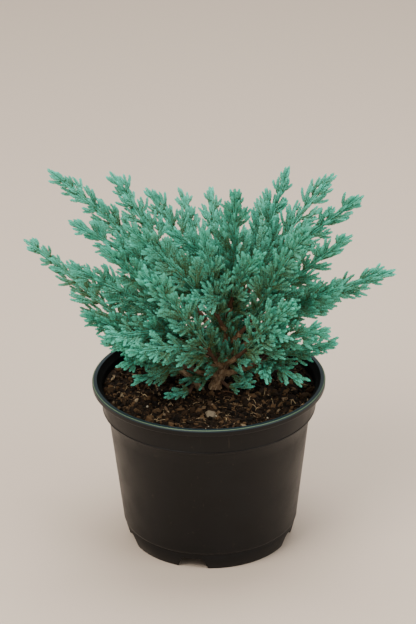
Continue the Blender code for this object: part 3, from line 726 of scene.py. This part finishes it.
needleLook = {
    "length": 0.0046, "width": 0.00100, "thickness": 0.00080, "arch": 0.00035,
    "whorlStep": 0.00108, "perWhorl": 3, "whorlTurn": 60.0, "limbTurn": 37.0,
    "bareStem": 0.10, "bareSpray": 0.06, "bareShoot": 0.02, "tipRoom": 0.0025,
    # needles by their distance from the shoot's tip: how far open, and their size
    "closeUp": (0.0, 0.0015, 0.0045, 0.0100), "opened": (2, 6, 10, 12),
    "shrunk": (0.50, 0.68, 0.90, 1.0),
    # stems and sprays hold theirs further open, but not close to the tip
    "stemOpenMore": 8, "sprayOpenMore": 6, "openMoreFrom": 0.006,
    "stemSize": 1.12, "sizePlaces": (0.0, 0.5, 0.9), "sizes": (0.80, 0.90, 1.06),
    # needle tints: lighter towards each tip as fresh growth, darker towards the foot as painted
    # shade
    "stemTint": (0.25, 0.50), "tintGain": 0.36, "tintMiddle": 0.4,
    "sunk": 0.0002, "offStem": 0.00010, "keel": 1.4, "turnPlay": 7, "openPlay": 4,
    "lengths": (0.90, 1.10), "tintPlay": 0.11, "overSoil": 0.0008,
    # plain colours from the shaded inside to the freshest tips; the base half of each needle is
    # darker, painted shade where the needles overlap
    "tones": (rgb(84, 102, 66), rgb(90, 131, 98), rgb(94, 158, 130), rgb(95, 180, 154),
              rgb(94, 194, 167), rgb(93, 204, 178), rgb(92, 211, 186)),
    "paintedBaseShade": 2, "sheen": (0.6, 0.06),
}
twigLook = {
    # twig tones from bark brown to young green; the last, dark green is the shoots' own green
    # deepened by painted shade of the gaps between needles
    "tones": (rgb(92, 66, 50), rgb(150, 128, 84), rgb(128, 146, 86), rgb(56, 98, 56)),
    "sheen": (0.75, 0.3),
    "stubSunk": 0.15, "stubRings": 6, "stubSides": 10, "stemRings": 28, "stemSides": 7,
    "stemEnd": 0.97, "sprayRings": 5, "shootRings": 3, "limbSides": 4,
    # shares of a plume from which its stem, and the shoots on it, take the next tone
    "stemSteps": (0.20, 0.50, 0.80), "limbSteps": (0.25, 0.6),
}
rng = np.random.default_rng(growth["seed"])


def onCurve(controls, share):
    a, b, c, d = controls
    t = share[:, None]
    s = 1 - t
    point = a * s ** 3 + b * 3 * s * s * t + c * 3 * s * t * t + d * t ** 3
    tangent = (b - a) * 3 * s * s + (c - b) * 6 * s * t + (d - c) * 3 * t * t
    return point, unit(tangent)


def onLimb(limb, rows, t):
    t = t[:, None]
    point = limb["root"][rows] + limb["way"][rows] * t + limb["bend"][rows] * t * t
    return point, unit(limb["way"][rows] + 2 * limb["bend"][rows] * t)


def offshoots(point, forward, side, turn, openAngle, closeAngle, length, pull):
    # limbs that leave a parent at an open angle and bend in towards its heading and the pull
    side = unit(side - forward * dot(side, forward))
    across = np.cross(forward, side)
    turn, length = np.radians(turn)[:, None], length[:, None]
    out = side * np.cos(turn) + across * np.sin(turn)
    first, last = np.radians(openAngle)[:, None], np.radians(closeAngle)[:, None]
    start = unit(forward * np.cos(first) + out * np.sin(first) + pull * 0.5)
    end = unit(forward * np.cos(last) + out * np.sin(last) + pull)
    return {"root": point, "way": start * length, "bend": (end - start) * length / 2,
            "side": unit(out - start * dot(out, start)), "length": length[:, 0]}


def joined(sets):
    return {key: np.concatenate([one[key] for one in sets]) for key in sets[0]}


def turnAside(forward, side, turn):
    # sprays that would be seen end on from the front turn to the nearer side
    side = unit(side - forward * dot(side, forward))
    across = np.cross(forward, side)
    front = np.array(growth["front"])
    middle = np.degrees(np.arctan2(across @ front, side @ front))
    off = (turn - middle + 180) % 360 - 180
    push = np.clip(1 - np.abs(off) / 90, 0, 1) * growth["frontTurn"]
    return turn + np.where(off < 0, -push, push)


def play(spread, count):
    return rng.uniform(-spread, spread, count)


def spreadShares(first, last, count):
    # shares of a length in even steps with some play
    return first + (last - first) * (np.arange(count) + rng.uniform(0.2, 0.8, count)) / count


def goldenTurns(count):
    return rng.uniform(0, 360) + growth["turn"] * np.arange(count)


def plumeSide(curve, count):
    return np.tile(np.cross(curve[3] - curve[0], up), (count, 1))


def tintAlong(baseAndGain, share, spread):
    base, gain = baseAndGain
    return base + gain * share + play(spread, len(share))


def shadeAt(point):
    return np.interp(point[:, 2], growth["shadeHeights"], growth["shade"])


def marked(limb, aim, share, tint, mass):
    # a limb with what its shoots and needles take from it; mass is one number or one a row
    return limb | {"aim": aim, "share": share, "tint": tint, "mass": np.full(len(share), mass)}


def growSprays(curve, number, massNumber):
    points, _ = onCurve(curve, np.linspace(0, 1, 40))
    length = np.linalg.norm(np.diff(points, axis=0), axis=1).sum()
    first, last = growth["sprayStart"] + growth["sprayStartLater"] * number, growth["sprayEnd"]
    count = max(5, round(length * (last - first) / growth["sprayStep"]))
    share = first + (last - first) * spreadShares(0, 1, count) ** growth["sprayCrowd"]
    point, forward = onCurve(curve, share)
    base, gain = growth["plumeScale"]
    scale = min(1.0, base + gain * length / growth["fullPlume"])
    swell = np.interp(share, growth["swellPlaces"], growth["swell"])
    choice = rng.choice(growth["sprayChoices"], count, p=growth["sprayOdds"])
    size = growth["sprayLength"] * scale * swell * choice
    size = np.minimum(size * rng.uniform(*growth["spraySizes"], count),
                      (1.0 - share) * length * growth["sprayRoom"])
    turn = goldenTurns(count) + play(growth["turnPlay"], count)
    side = plumeSide(curve, count)
    closer = np.interp(share, growth["closerFrom"], (0, growth["tipCloser"]))
    sprays = offshoots(point, forward, side, turnAside(forward, side, turn),
                       growth["sprayOpen"] - closer + play(growth["openPlay"], count),
                       growth["sprayClose"] - closer + play(growth["openPlay"], count),
                       np.maximum(size, growth["shortestSpray"]), up * growth["sprayLift"])
    tint = tintAlong(growth["sprayTint"], share, growth["tintPlay"]) + shadeAt(point)
    return marked(sprays, forward, share, tint, massNumber), length


def growStemShoots(curve, length, massNumber):
    first, last = growth["stemShootStart"], growth["stemShootEnd"]
    count = round(length * (last - first) / growth["stemShootStep"])
    share = spreadShares(first, last, count)
    point, forward = onCurve(curve, share)
    size = growth["stemShootLength"] * rng.uniform(*growth["stemShootSizes"], count)
    shoots = offshoots(point, forward, plumeSide(curve, count), goldenTurns(count),
                       growth["stemShootOpen"] + play(growth["openPlay"], count),
                       growth["stemShootClose"] + play(growth["shootClosePlay"], count),
                       size, np.zeros(3))
    tint = tintAlong(growth["stemShootTint"], share, growth["stemShootTintPlay"])
    return marked(shoots, forward, share, tint + shadeAt(point), massNumber)


def spacedRows(counts):
    # row and number of every child where parent i has counts[i] of them
    rows = np.repeat(np.arange(len(counts)), counts)
    number = np.arange(counts.sum()) - np.repeat(np.cumsum(counts) - counts, counts)
    return rows, number


def shootLength(parentLength, t):
    size = (growth["shootShare"] * parentLength * (growth["shootTaper"] - t)
            + growth["shootExtra"])
    size = np.clip(size, growth["shortestShoot"], growth["longestShoot"])
    return np.maximum(np.minimum(size, (1 - t) * parentLength * growth["shootRoom"]),
                      growth["tipShoot"])


def growShoots(parents):
    length, start = parents["length"], growth["shootStart"]
    leafy = length * (1 - start) - growth["bareTip"]
    counts = np.maximum(0, np.round(leafy / growth["shootStep"])).astype(int)
    rows, number = spacedRows(counts)
    count = len(rows)
    t = start + (1 - start) * (number + rng.uniform(0.25, 0.75, count)) / (counts[rows] + 1)
    point, forward = onLimb(parents, rows, t)
    size = shootLength(length[rows], t) * rng.uniform(*growth["shootSizes"], count)
    fan = play(growth["fanPlay"], len(length))
    turn = fan[rows] + number * 180 + play(growth["turnPlay"], count)
    aim = parents["aim"][rows]
    shoots = offshoots(point, forward, parents["side"][rows], turn,
                       growth["shootOpen"] + play(growth["openPlay"], count),
                       growth["shootClose"] + play(growth["shootClosePlay"], count), size,
                       aim * growth["shootPull"])
    tint = tintAlong((parents["tint"][rows], growth["shootTintGain"]), t, growth["shootTintPlay"])
    return marked(shoots, aim, parents["share"][rows], tint, parents["mass"][rows])


def aboveGround(limb):
    # limbs whose tip keeps clear of the compost, and of the rim where they pass over it
    tip = limb["root"] + limb["way"] + limb["bend"]
    reach = np.hypot(tip[:, 0], tip[:, 1])
    inside = reach <= growth["rimInside"]
    floor = np.where(inside, soilLevel + growth["overSoil"],
                     np.where(reach < rimRadius + growth["rimOutside"],
                              potHeight + growth["overRim"], 0.0))
    keep = tip[:, 2] > floor
    return {key: values[keep] for key, values in limb.items()}


def growLimbSprays(name, limb, massNumber):
    # sprays on a stem or bough, that close the crown's foot in
    kind = "bough" if name.startswith("bough") else name
    count = growth["limbSprays"][kind]
    shares = spreadShares(growth["limbSprayStart"][kind], growth["limbSprayEnd"], count)
    spots = [along(limb["points"], min(share, 1.0)) for share in shares]
    point, forward = (np.array(values) for values in zip(*spots))
    turn = goldenTurns(count)
    size = growth["limbSprayLength"] * rng.uniform(*growth["limbSpraySizes"], count)
    side = np.tile(np.cross(forward[0], (0.3, 0.9, 0.1)), (count, 1))
    sprays = offshoots(point, forward, side, turnAside(forward, side, turn),
                       np.full(count, growth["limbSprayOpen"]),
                       np.full(count, growth["limbSprayClose"]), size,
                       up * growth["limbSprayLift"])
    share = np.full(count, growth["limbSprayShare"])
    tint = tintAlong(growth["limbSprayTint"], share, growth["tintPlay"])
    return marked(sprays, unit(sprays["way"]), share, tint, massNumber)


def whorlSet(toTip, openMore, size, others):
    # needles lie closer and are smaller near the tip
    look = needleLook
    opened = np.interp(toTip, look["closeUp"], look["opened"])
    return others | {"open": opened + openMore * (toTip > look["openMoreFrom"]),
                     "size": np.interp(toTip, look["closeUp"], look["shrunk"]) * size}


def limbWhorls(limb, baseShare, openMore):
    look = needleLook
    counts = np.maximum(2, np.round(limb["length"] * (1 - baseShare) / look["whorlStep"]))
    rows, number = spacedRows(counts.astype(int))
    t = baseShare + (1 - baseShare) * (number + 0.5) / counts[rows]
    point, forward = onLimb(limb, rows, t)
    return whorlSet((1 - t) * limb["length"][rows], openMore,
                    np.interp(limb["share"][rows], look["sizePlaces"], look["sizes"]), {
        "point": point, "forward": forward, "side": limb["side"][rows], "mass": limb["mass"][rows],
        "phase": number * look["whorlTurn"] + rows * look["limbTurn"],
        "tint": limb["tint"][rows] + look["tintGain"] * (t - look["tintMiddle"])})


def stemWhorls(curve, length, massNumber):
    look = needleLook
    count = int(length / look["whorlStep"])
    first, last = look["bareStem"], 1 - look["tipRoom"] / length
    share = first + (last - first) * (np.arange(count) + 0.5) / count
    point, forward = onCurve(curve, share)
    base, gain = look["stemTint"]
    return whorlSet((1 - share) * length, look["stemOpenMore"], look["stemSize"], {
        "point": point, "forward": forward, "side": plumeSide(curve, count),
        "mass": np.full(count, massNumber), "phase": np.arange(count) * look["whorlTurn"],
        "tint": base + gain * share})


def needleArrays(whorls):
    look = needleLook
    per = look["perWhorl"]
    whorls = {key: np.repeat(values, per, axis=0) for key, values in whorls.items()}
    count = len(whorls["phase"])
    angle = whorls["phase"] + np.tile(np.arange(per) * 360 / per, count // per)
    angle = np.radians(angle + play(look["turnPlay"], count))[:, None]
    forward = whorls["forward"]
    side = unit(whorls["side"] - forward * dot(whorls["side"], forward))
    out = side * np.cos(angle) + np.cross(forward, side) * np.sin(angle)
    opened = np.radians(whorls["open"] + play(look["openPlay"], count))[:, None]
    size = look["length"] * whorls["size"][:, None] * rng.uniform(*look["lengths"], (count, 1))
    way = forward * np.cos(opened) + out * np.sin(opened)
    lean = out * np.cos(opened) - forward * np.sin(opened)       # square to the needle, outwards
    root = whorls["point"] + out * look["offStem"] - forward * look["sunk"]
    tip = root + way * size
    middle = root + way * size * 0.50 + lean * look["arch"]
    across = np.cross(way, lean) * look["width"] / 2
    thick = lean * look["thickness"] / 2
    verts = np.stack((root, middle + across - thick, middle - across - thick,
                      middle + thick * look["keel"], tip - lean * look["arch"] * 0.5), axis=1)
    tint = whorls["tint"] + play(look["tintPlay"], count)
    outer = (tint * len(look["tones"])).astype(int)             # the outer half is the lighter
    # the base half takes a darker tone as painted shade
    tones = np.stack((outer - look["paintedBaseShade"], outer), axis=1)
    return verts, np.clip(tones, 0, len(look["tones"]) - 1), whorls["mass"]


needleFaces = np.array(((0, 2, 1), (0, 3, 2), (0, 1, 3), (4, 1, 2), (4, 2, 3), (4, 3, 1)))


def tubeArrays(centres, radii, side, sides):
    # N tapering rods of K rings each, closed with a flat start and a point
    count, rings = radii.shape
    tangent = unit(np.gradient(centres, axis=1))
    side = side[:, None, :] - tangent * dot(side[:, None, :], tangent)
    side = unit(side)
    across = np.cross(tangent, side)
    angle = np.arange(sides) * math.tau / sides
    ring = (side[:, :, None] * np.cos(angle)[:, None] + across[:, :, None] * np.sin(angle)[:, None])
    verts = centres[:, :, None] + ring * radii[:, :, None, None]
    verts = verts.reshape(count, rings * sides, 3)
    ends = np.stack((centres[:, 0], centres[:, -1] + tangent[:, -1] * radii[:, -1:]), axis=1)
    verts = np.concatenate((verts, ends), axis=1)
    here = np.arange(sides)
    after = (here + 1) % sides
    walls = [np.stack((here + r * sides, after + r * sides, after + (r + 1) * sides,
                       here + (r + 1) * sides), axis=1) for r in range(rings - 1)]
    walls = np.concatenate(walls)
    last = (rings - 1) * sides
    caps = np.concatenate((
        np.stack((after, here, np.full(sides, rings * sides)), axis=1),
        np.stack((here + last, after + last, np.full(sides, rings * sides + 1)), axis=1)))
    return verts, walls, caps


def limbTubes(limb, rings, rootRadius, tipRadius, sides):
    t = np.linspace(0, 1, rings)[None, :, None]
    centres = limb["root"][:, None] + limb["way"][:, None] * t + limb["bend"][:, None] * t * t
    radii = np.broadcast_to(rootRadius + (tipRadius - rootRadius) * t[..., 0], centres.shape[:2])
    return tubeArrays(centres, radii, limb["side"], sides)


def newBag():
    return {"verts": [], "quads": [], "quadsTones": [], "tris": [], "trisTones": [], "size": 0}


def addTubes(bag, tubes, wallTones, capTones):
    # puts N like rods in the bag, with their numbers shifted past what it holds
    verts, walls, caps = tubes
    count, size = verts.shape[:2]
    shift = bag["size"] + np.arange(count)[:, None, None] * size
    bag["verts"].append(verts.reshape(-1, 3))
    for kind, faces, tones in (("quads", walls, wallTones), ("tris", caps, capTones)):
        bag[kind].append((faces[None] + shift).reshape(-1, faces.shape[1]))
        bag[kind + "Tones"].append(np.broadcast_to(tones, (count, len(faces))).ravel())
    bag["size"] += count * size


def bagToMesh(name, bag):
    faceSets = [(np.concatenate(bag[kind]), np.concatenate(bag[kind + "Tones"]))
                for kind in ("quads", "tris")]
    return arraysToMesh(name, np.concatenate(bag["verts"]), faceSets, True)


def makeTwigs(massNumber, mass, limbsByLevel):
    look, bag = twigLook, newBag()
    root, fork = np.array(mass["root"]), np.array(mass["fork"])
    centres = np.linspace(root - (fork - root) * look["stubSunk"], fork, look["stubRings"])
    radii = np.linspace(mass["radius"], plan["stubTipRadius"], look["stubRings"])
    side = np.cross(fork - root, up)
    addTubes(bag, tubeArrays(centres[None], radii[None], side[None], look["stubSides"]), 0, 0)
    share = np.linspace(0, look["stemEnd"], look["stemRings"])
    radii = growth["stemRadius"] + (growth["stemTipRadius"] - growth["stemRadius"]) * share
    tones = np.repeat(np.digitize(share[:-1], look["stemSteps"]), look["stemSides"])
    lastTone = len(look["tones"]) - 1
    for curve in mass["curves"]:
        centres, _ = onCurve(curve, share)
        addTubes(bag, tubeArrays(centres[None], radii[None], plumeSide(curve, 1),
                                 look["stemSides"]), tones, lastTone)
    for limb, rings, rootRadius, tipRadius, tone in limbsByLevel:
        rows = limb["mass"] == massNumber
        part = {key: values[rows] for key, values in limb.items()}
        limbTones = np.clip(tone + np.digitize(part["share"], look["limbSteps"])[:, None],
                            0, lastTone)
        addTubes(bag, limbTubes(part, rings, rootRadius, tipRadius, look["limbSides"]),
                 limbTones, limbTones)
    return bagToMesh(mass["name"] + "_twigs", bag)


def growAll():
    # sprays, shoots and whorls of needles of the whole plant
    sprayParts, shootParts, whorlParts = [], [], []
    for massNumber, mass in enumerate(masses):
        for number, curve in enumerate(mass["curves"]):
            sprays, length = growSprays(curve, number, massNumber)
            sprayParts.append(sprays)
            shootParts.append(growStemShoots(curve, length, massNumber))
            whorlParts.append(stemWhorls(curve, length, massNumber))
        if mass["limb"]:
            sprayParts.append(growLimbSprays(mass["limb"], limbs[mass["limb"]], massNumber))
    sprays = aboveGround(joined(sprayParts))
    shoots = aboveGround(joined(shootParts + [growShoots(sprays)]))
    whorlParts += [limbWhorls(sprays, needleLook["bareSpray"], needleLook["sprayOpenMore"]),
                   limbWhorls(shoots, needleLook["bareShoot"], 0)]
    return sprays, shoots, joined(whorlParts)


def makeFoliage(look):
    sprays, shoots, whorls = growAll()
    verts, tones, owners = needleArrays(whorls)
    clear = verts[:, -1, 2] > soilLevel + look["overSoil"]
    verts, tones, owners = verts[clear], tones[clear], owners[clear]
    print("foliage:", len(sprays["root"]), "sprays,", len(shoots["root"]), "shoots,",
          len(verts), "needles")
    needleTones = toneMaterials("needleTone", look["tones"], look["sheen"])
    twigTones = toneMaterials("twigTone", twigLook["tones"], twigLook["sheen"])
    # limbs, rings, radii at root and tip, first tone
    levels = [(sprays, twigLook["sprayRings"], growth["sprayRadius"], growth["sprayTipRadius"], 1),
              (shoots, twigLook["shootRings"], growth["shootRadius"], growth["sprayTipRadius"], 2)]
    for massNumber, mass in enumerate(masses):
        own = owners == massNumber
        faces = needleFaces[None] + np.arange(own.sum())[:, None, None] * verts.shape[1]
        faceTones = np.repeat(tones[own], 3, axis=1).ravel()
        mesh = arraysToMesh(mass["name"] + "_needles", verts[own].reshape(-1, 3),
                            [(faces.reshape(-1, 3), faceTones)], False)
        addPiece(mesh.name, mesh, needleTones, [mass["name"]])
        mesh = makeTwigs(massNumber, mass, levels)
        addPiece(mesh.name, mesh, twigTones, [mass["name"]])


makeFoliage(needleLook)


# Compost

compostLook = {
    "radius": 0.0772, "seed": 5, "rings": 150, "turnSteps": 300,
    "lumpSize": 0.014, "lumpHeight": 0.0016, "clodSize": 0.0046, "clodHeight": 0.0018,
    "grainSize": 0.0014, "grainHeight": 0.0006,
    "mound": 0.0014, "moundRadius": 0.016, "moundX": 0.002,
    "deep": rgb(15, 10, 6), "mid": rgb(44, 31, 20), "pale": rgb(84, 64, 46),
    "broadScale": 240, "fineScale": 900, "paleAmount": 0.5, "bump": (0.6, 0.0004),
    "sheen": (0.95, 0.2), "woodSheen": (0.85, 0.25), "stoneSheen": (0.9, 0.3),
    "sharpAngle": 70, "wallGap": 0.0002, "floorGap": 0.0003, "filledTo": 0.026,
    # loose bits: number, distance to the wall, subdivisions, stretch, roughness, how high they
    # lie, gamma spread of their sizes or none for an even one, smallest and largest size
    "compostCrumbs": (4400, 0.0015, 1, (1.1, 0.8, 0.7), 0.35, 0.30,
                      (1.9, 0.00050), 0.0004, 0.0030),
    "barkChips": (560, 0.0020, 2, (1.4, 0.7, 0.32), 0.38, 0.35, (2.0, 0.0005), 0.0005, 0.0030),
    "paleFlecks": (30, 0.0030, 2, (1, 0.9, 0.8), 0.2, 0.70, None, 0.0004, 0.0009),
    "crumbTones": (rgb(18, 12, 7), rgb(30, 21, 12), rgb(52, 37, 23), rgb(88, 66, 44)),
    "chipTones": (rgb(40, 28, 18), rgb(64, 46, 30), rgb(102, 80, 57), rgb(146, 124, 96)),
    "fleck": rgb(182, 168, 144), "pebble": rgb(122, 108, 88),
    "fibreTones": (rgb(84, 58, 40), rgb(130, 100, 70), rgb(186, 158, 120)),
    # pebbles: place across the compost and size
    "pebbles": ((0.0012, -0.0461, 0.0042), (-0.0400, 0.0240, 0.0021), (0.0180, 0.0480, 0.0024)),
    "pebbleStretch": (1, 0.95, 0.85), "pebbleRough": 0.2, "pebbleSink": 0.35, "slimmest": 0.6,
    "slimmestPebble": 0.9,
    "clearSpot": (0.004, 0.007),            # nothing is scattered here: middle in x, radius
    # fibres: number with the strands, distances kept, lengths, how they wander, radii, tones
    "fibres": 220, "fibreEdge": 0.008, "fibreMiddle": 0.012, "fibreLengths": (0.004, 0.011),
    "fibreBend": 0.8, "fibreRadii": (0.00010, 0.00024), "fibreOdds": (0, 1, 2, 2),
    "fibreLifts": (0.0003, 0.0016), "fibreRings": 9, "fibreSides": 6,
    # strands that lie on the compost: points across it, radius, tone
    "strands": ((((0.0065, -0.0131), (0.0138, -0.0097), (0.0217, -0.0159)), 0.0007, 0),
                (((-0.0480, -0.0100), (-0.0464, -0.0144), (-0.0430, -0.0175)), 0.0005, 2),
                (((0.0144, -0.0365), (0.0180, -0.0300), (0.0245, -0.0284)), 0.00025, 2),
                (((0.0406, -0.0106), (0.0455, -0.0160), (0.0461, -0.0263)), 0.00022, 2),
                (((0.0060, -0.0330), (0.0120, -0.0345), (0.0190, -0.0400)), 0.0003, 1)),
}


def compostHeight(x, y):
    look = compostLook
    spot = Vector((x, y, 0.37))
    lump = noise.noise(spot / look["lumpSize"]) * look["lumpHeight"]
    distances, _ = noise.voronoi(spot / look["clodSize"])
    clod = (0.55 - distances[0]) * look["clodHeight"]
    grain = noise.noise(spot / look["grainSize"]) * look["grainHeight"]
    radius = math.hypot(x - look["moundX"], y)
    mound = look["mound"] * math.exp(-(radius / look["moundRadius"]) ** 2)
    return soilLevel + lump + clod + grain + mound


def makeCompostMaterial(look):
    maker = MaterialMaker("darkCompost", look["mid"], look["sheen"])
    place = maker.add("ShaderNodeTexCoord").outputs["Object"]
    broad = maker.group(mottleGroup, place, {
        "Scale": look["broadScale"], "Low": 0.38, "High": 0.66,
        "Dark": look["deep"], "Light": look["mid"]})
    fine = maker.group(mottleGroup, place, {"Scale": look["fineScale"], "Low": 0.60, "High": 0.74})
    maker.overlay(broad.outputs["Color"], fine.outputs["Mask"], look["paleAmount"], look["pale"])
    maker.bump(fine.outputs["Mask"], *look["bump"])
    return maker.material


def makeCompostTop(look):
    # a surface over the pot's whole inside: level rings, then down the wall and over the floor
    wall = potLook["wall"] + look["wallGap"]
    floor = potLook["floorTop"] + look["floorGap"]
    line = [(look["radius"] * (i / look["rings"]), soilLevel) for i in range(look["rings"] + 1)]
    line += [(potLook["bodyTop"] - wall, potHeight - look["filledTo"]),
             (potLook["bodyFoot"] - wall, potLook["corner"] + potLook["cornerRise"]),
             (potLook["crease"] - wall - potLook["floorRound"], floor), (0.0, floor)]
    bm = turned(line, look["turnSteps"])
    for vert in bm.verts:
        if abs(vert.co.z - soilLevel) < weldDistance:
            vert.co.z = compostHeight(vert.co.x, vert.co.y)
    mesh = bmeshToMesh(bm, "compostTop", look["sharpAngle"])
    addPiece("compostTop", mesh, [makeCompostMaterial(look)], ["soil"])


def lumpShape(subdivisions):
    bm = bmesh.new()
    bmesh.ops.create_icosphere(bm, subdivisions=subdivisions, radius=1)
    verts = np.array([vert.co for vert in bm.verts])
    faces = np.array([[vert.index for vert in face.verts] for face in bm.faces])
    bm.free()
    return verts, faces


def scatterSpots(count, radius, draw):
    # even spread over the compost, clear of the stems
    clearX, clearRadius = compostLook["clearSpot"]
    spots = []
    while len(spots) < count:
        x, y = draw.uniform(-radius, radius), draw.uniform(-radius, radius)
        if math.hypot(x, y) < radius and math.hypot(x - clearX, y) > clearRadius:
            spots.append((x, y, compostHeight(x, y)))
    return np.array(spots)


def randomTurns(count, generator):
    # random rotation matrices from unit quaternions
    q = unit(generator.normal(size=(count, 4)))
    w, x, y, z = q.T
    rows = (1 - 2 * (y * y + z * z), 2 * (x * y - z * w), 2 * (x * z + y * w),
            2 * (x * y + z * w), 1 - 2 * (x * x + z * z), 2 * (y * z - x * w),
            2 * (x * z - y * w), 2 * (y * z + x * w), 1 - 2 * (x * x + y * y))
    return np.stack(rows, axis=1).reshape(count, 3, 3)


def scatterLumps(name, shape, spots, sizes, stretch, rough, sink, slimmest, materials, generator):
    # rough lumps of like shape, turned at random and partly sunk
    base, faces = shape
    count = len(spots)
    verts = base[None] * (1 + generator.uniform(-rough, rough, (count, len(base), 1)))
    slim = generator.uniform(slimmest, 1.25, (count, 1, 3))
    verts = verts * stretch * slim * sizes[:, None, None]
    verts = np.einsum("nij,nkj->nki", randomTurns(count, generator), verts)
    verts += (spots + up * sizes[:, None] * sink)[:, None]
    tones = np.repeat(generator.integers(0, len(materials), count), len(faces))
    rows = (faces[None] + np.arange(count)[:, None, None] * len(base)).reshape(-1, faces.shape[1])
    mesh = arraysToMesh(name, verts.reshape(-1, 3), [(rows, tones)], False)
    addPiece(name, mesh, materials, ["soil"])


def wanderingStrand(look, draw):
    # three points across the compost, a radius and a tone, or nothing where it would lie badly
    reach = look["radius"] - look["fibreEdge"]
    x, y = draw.uniform(-reach, reach), draw.uniform(-reach, reach)
    if not look["fibreMiddle"] < math.hypot(x, y) < reach:
        return None
    angle, length = draw.uniform(0, math.tau), draw.uniform(*look["fibreLengths"])
    points = [(x, y)]
    for _ in range(2):
        angle += draw.uniform(-look["fibreBend"], look["fibreBend"])
        x, y = x + length / 2 * math.cos(angle), y + length / 2 * math.sin(angle)
        points.append((x, y))
    return points, draw.uniform(*look["fibreRadii"]), draw.choice(look["fibreOdds"])


def layStrands(look, draw, materials):
    # thin roots and fibres that follow the compost's surface
    strands = list(look["strands"])
    while len(strands) < look["fibres"]:
        strand = wanderingStrand(look, draw)
        if strand:
            strands.append(strand)
    bag = newBag()
    t = np.linspace(0, 1, look["fibreRings"])[:, None]
    for points, radius, tone in strands:
        first, middle, last = (np.array(point) for point in points)
        flat = first * (1 - t) ** 2 + middle * 2 * t * (1 - t) + last * t * t
        lift = radius * 0.7 + np.sin(t[:, 0] * math.pi) * draw.uniform(*look["fibreLifts"])
        height = np.array([compostHeight(x, y) for x, y in flat])
        height = np.convolve(np.pad(height, 2, "edge"), np.full(5, 0.2), "valid") + lift
        centres = np.column_stack((flat, height))[None]
        radii = radius * (1.05 - 0.6 * t[:, 0])[None]
        addTubes(bag, tubeArrays(centres, radii, np.array([[0.1, 0.2, 1.0]]),
                                 look["fibreSides"]), tone, tone)
    addPiece("rootFibres", bagToMesh("rootFibres", bag), materials, ["soil"])


def makeCompost(look):
    makeCompostTop(look)
    draw = random.Random(look["seed"])
    generator = np.random.default_rng(look["seed"])
    kinds = {"compostCrumbs": toneMaterials("crumb", look["crumbTones"], look["sheen"]),
             "barkChips": toneMaterials("chip", look["chipTones"], look["woodSheen"]),
             "paleFlecks": [plainMaterial("perlite", look["fleck"], look["stoneSheen"])]}
    for name, materials in kinds.items():
        count, edge, fineness, stretch, rough, sink, spread, smallest, largest = look[name]
        spots = scatterSpots(count, look["radius"] - edge, draw)
        sizes = (generator.gamma(*spread, count).clip(smallest, largest) if spread
                 else generator.uniform(smallest, largest, count))
        scatterLumps(name, lumpShape(fineness), spots, sizes, stretch, rough, sink,
                     look["slimmest"], materials, generator)
    spots = np.array([(x, y, compostHeight(x, y)) for x, y, _ in look["pebbles"]])
    sizes = np.array([size for *_, size in look["pebbles"]])
    scatterLumps("pebbles", lumpShape(1), spots, sizes, look["pebbleStretch"],
                 look["pebbleRough"], look["pebbleSink"], look["slimmestPebble"],
                 [plainMaterial("pebbleStone", look["pebble"], look["stoneSheen"])], generator)
    layStrands(look, draw, toneMaterials("fibre", look["fibreTones"], look["woodSheen"]))
    print("compost:", sum(look[name][0] for name in kinds), "bits")


makeCompost(compostLook)


# Stage: floor, light and camera

stageLook = {
    "floor": rgb(226, 206, 186), "world": (0.86, 0.84, 0.81, 1), "worldStrength": 0.60,
    "lens": 138.5, "cameraPlace": (0.0, -1.564, 0.909), "cameraTilt": 25.05, "cameraRoll": -0.67,
    "floorSize": 4, "floorSheen": (0.75, 0.3), "lightAim": (0, 0, 0.15),
    # name, place, size, power, colour
    "lights": (("keyLight", (-0.9, -1.0, 1.8), 1.2, 30, (1.0, 0.97, 0.92)),
               ("fillLight", (1.5, -0.9, 1.0), 1.3, 14, (0.95, 0.97, 1.0)),
               ("topLight", (0.1, 0.4, 1.9), 1.2, 26, (1.0, 1.0, 1.0))),
}


def makeStage(look):
    bm = bmesh.new()
    bmesh.ops.create_grid(bm, x_segments=1, y_segments=1, size=look["floorSize"])
    floor = linked("floor", bmeshToMesh(bm, "floor"))
    floor.data.materials.append(plainMaterial("paleFloor", look["floor"], look["floorSheen"]))
    world = bpy.data.worlds.new("studio")
    world.use_nodes = True
    backdrop = world.node_tree.nodes["Background"]
    backdrop.inputs["Color"].default_value = look["world"]
    backdrop.inputs["Strength"].default_value = look["worldStrength"]
    bpy.context.scene.world = world
    for name, place, size, power, colour in look["lights"]:
        light = bpy.data.lights.new(name, "AREA")
        light.shape = "DISK"
        light.size = size
        light.energy = power
        light.color = colour
        lamp = linked(name, light)
        lamp.location = place
        aim = Vector(look["lightAim"]) - Vector(place)
        lamp.rotation_euler = aim.to_track_quat("-Z", "Y").to_euler()
    lens = bpy.data.cameras.new("camera")
    lens.lens = look["lens"]
    camera = linked("camera", lens)
    tilt = Matrix.Rotation(math.radians(90 - look["cameraTilt"]), 4, "X")
    roll = Matrix.Rotation(math.radians(look["cameraRoll"]), 4, "Z")
    camera.matrix_world = Matrix.Translation(look["cameraPlace"]) @ tilt @ roll
    bpy.context.scene.camera = camera


makeStage(stageLook)
print("stage set")
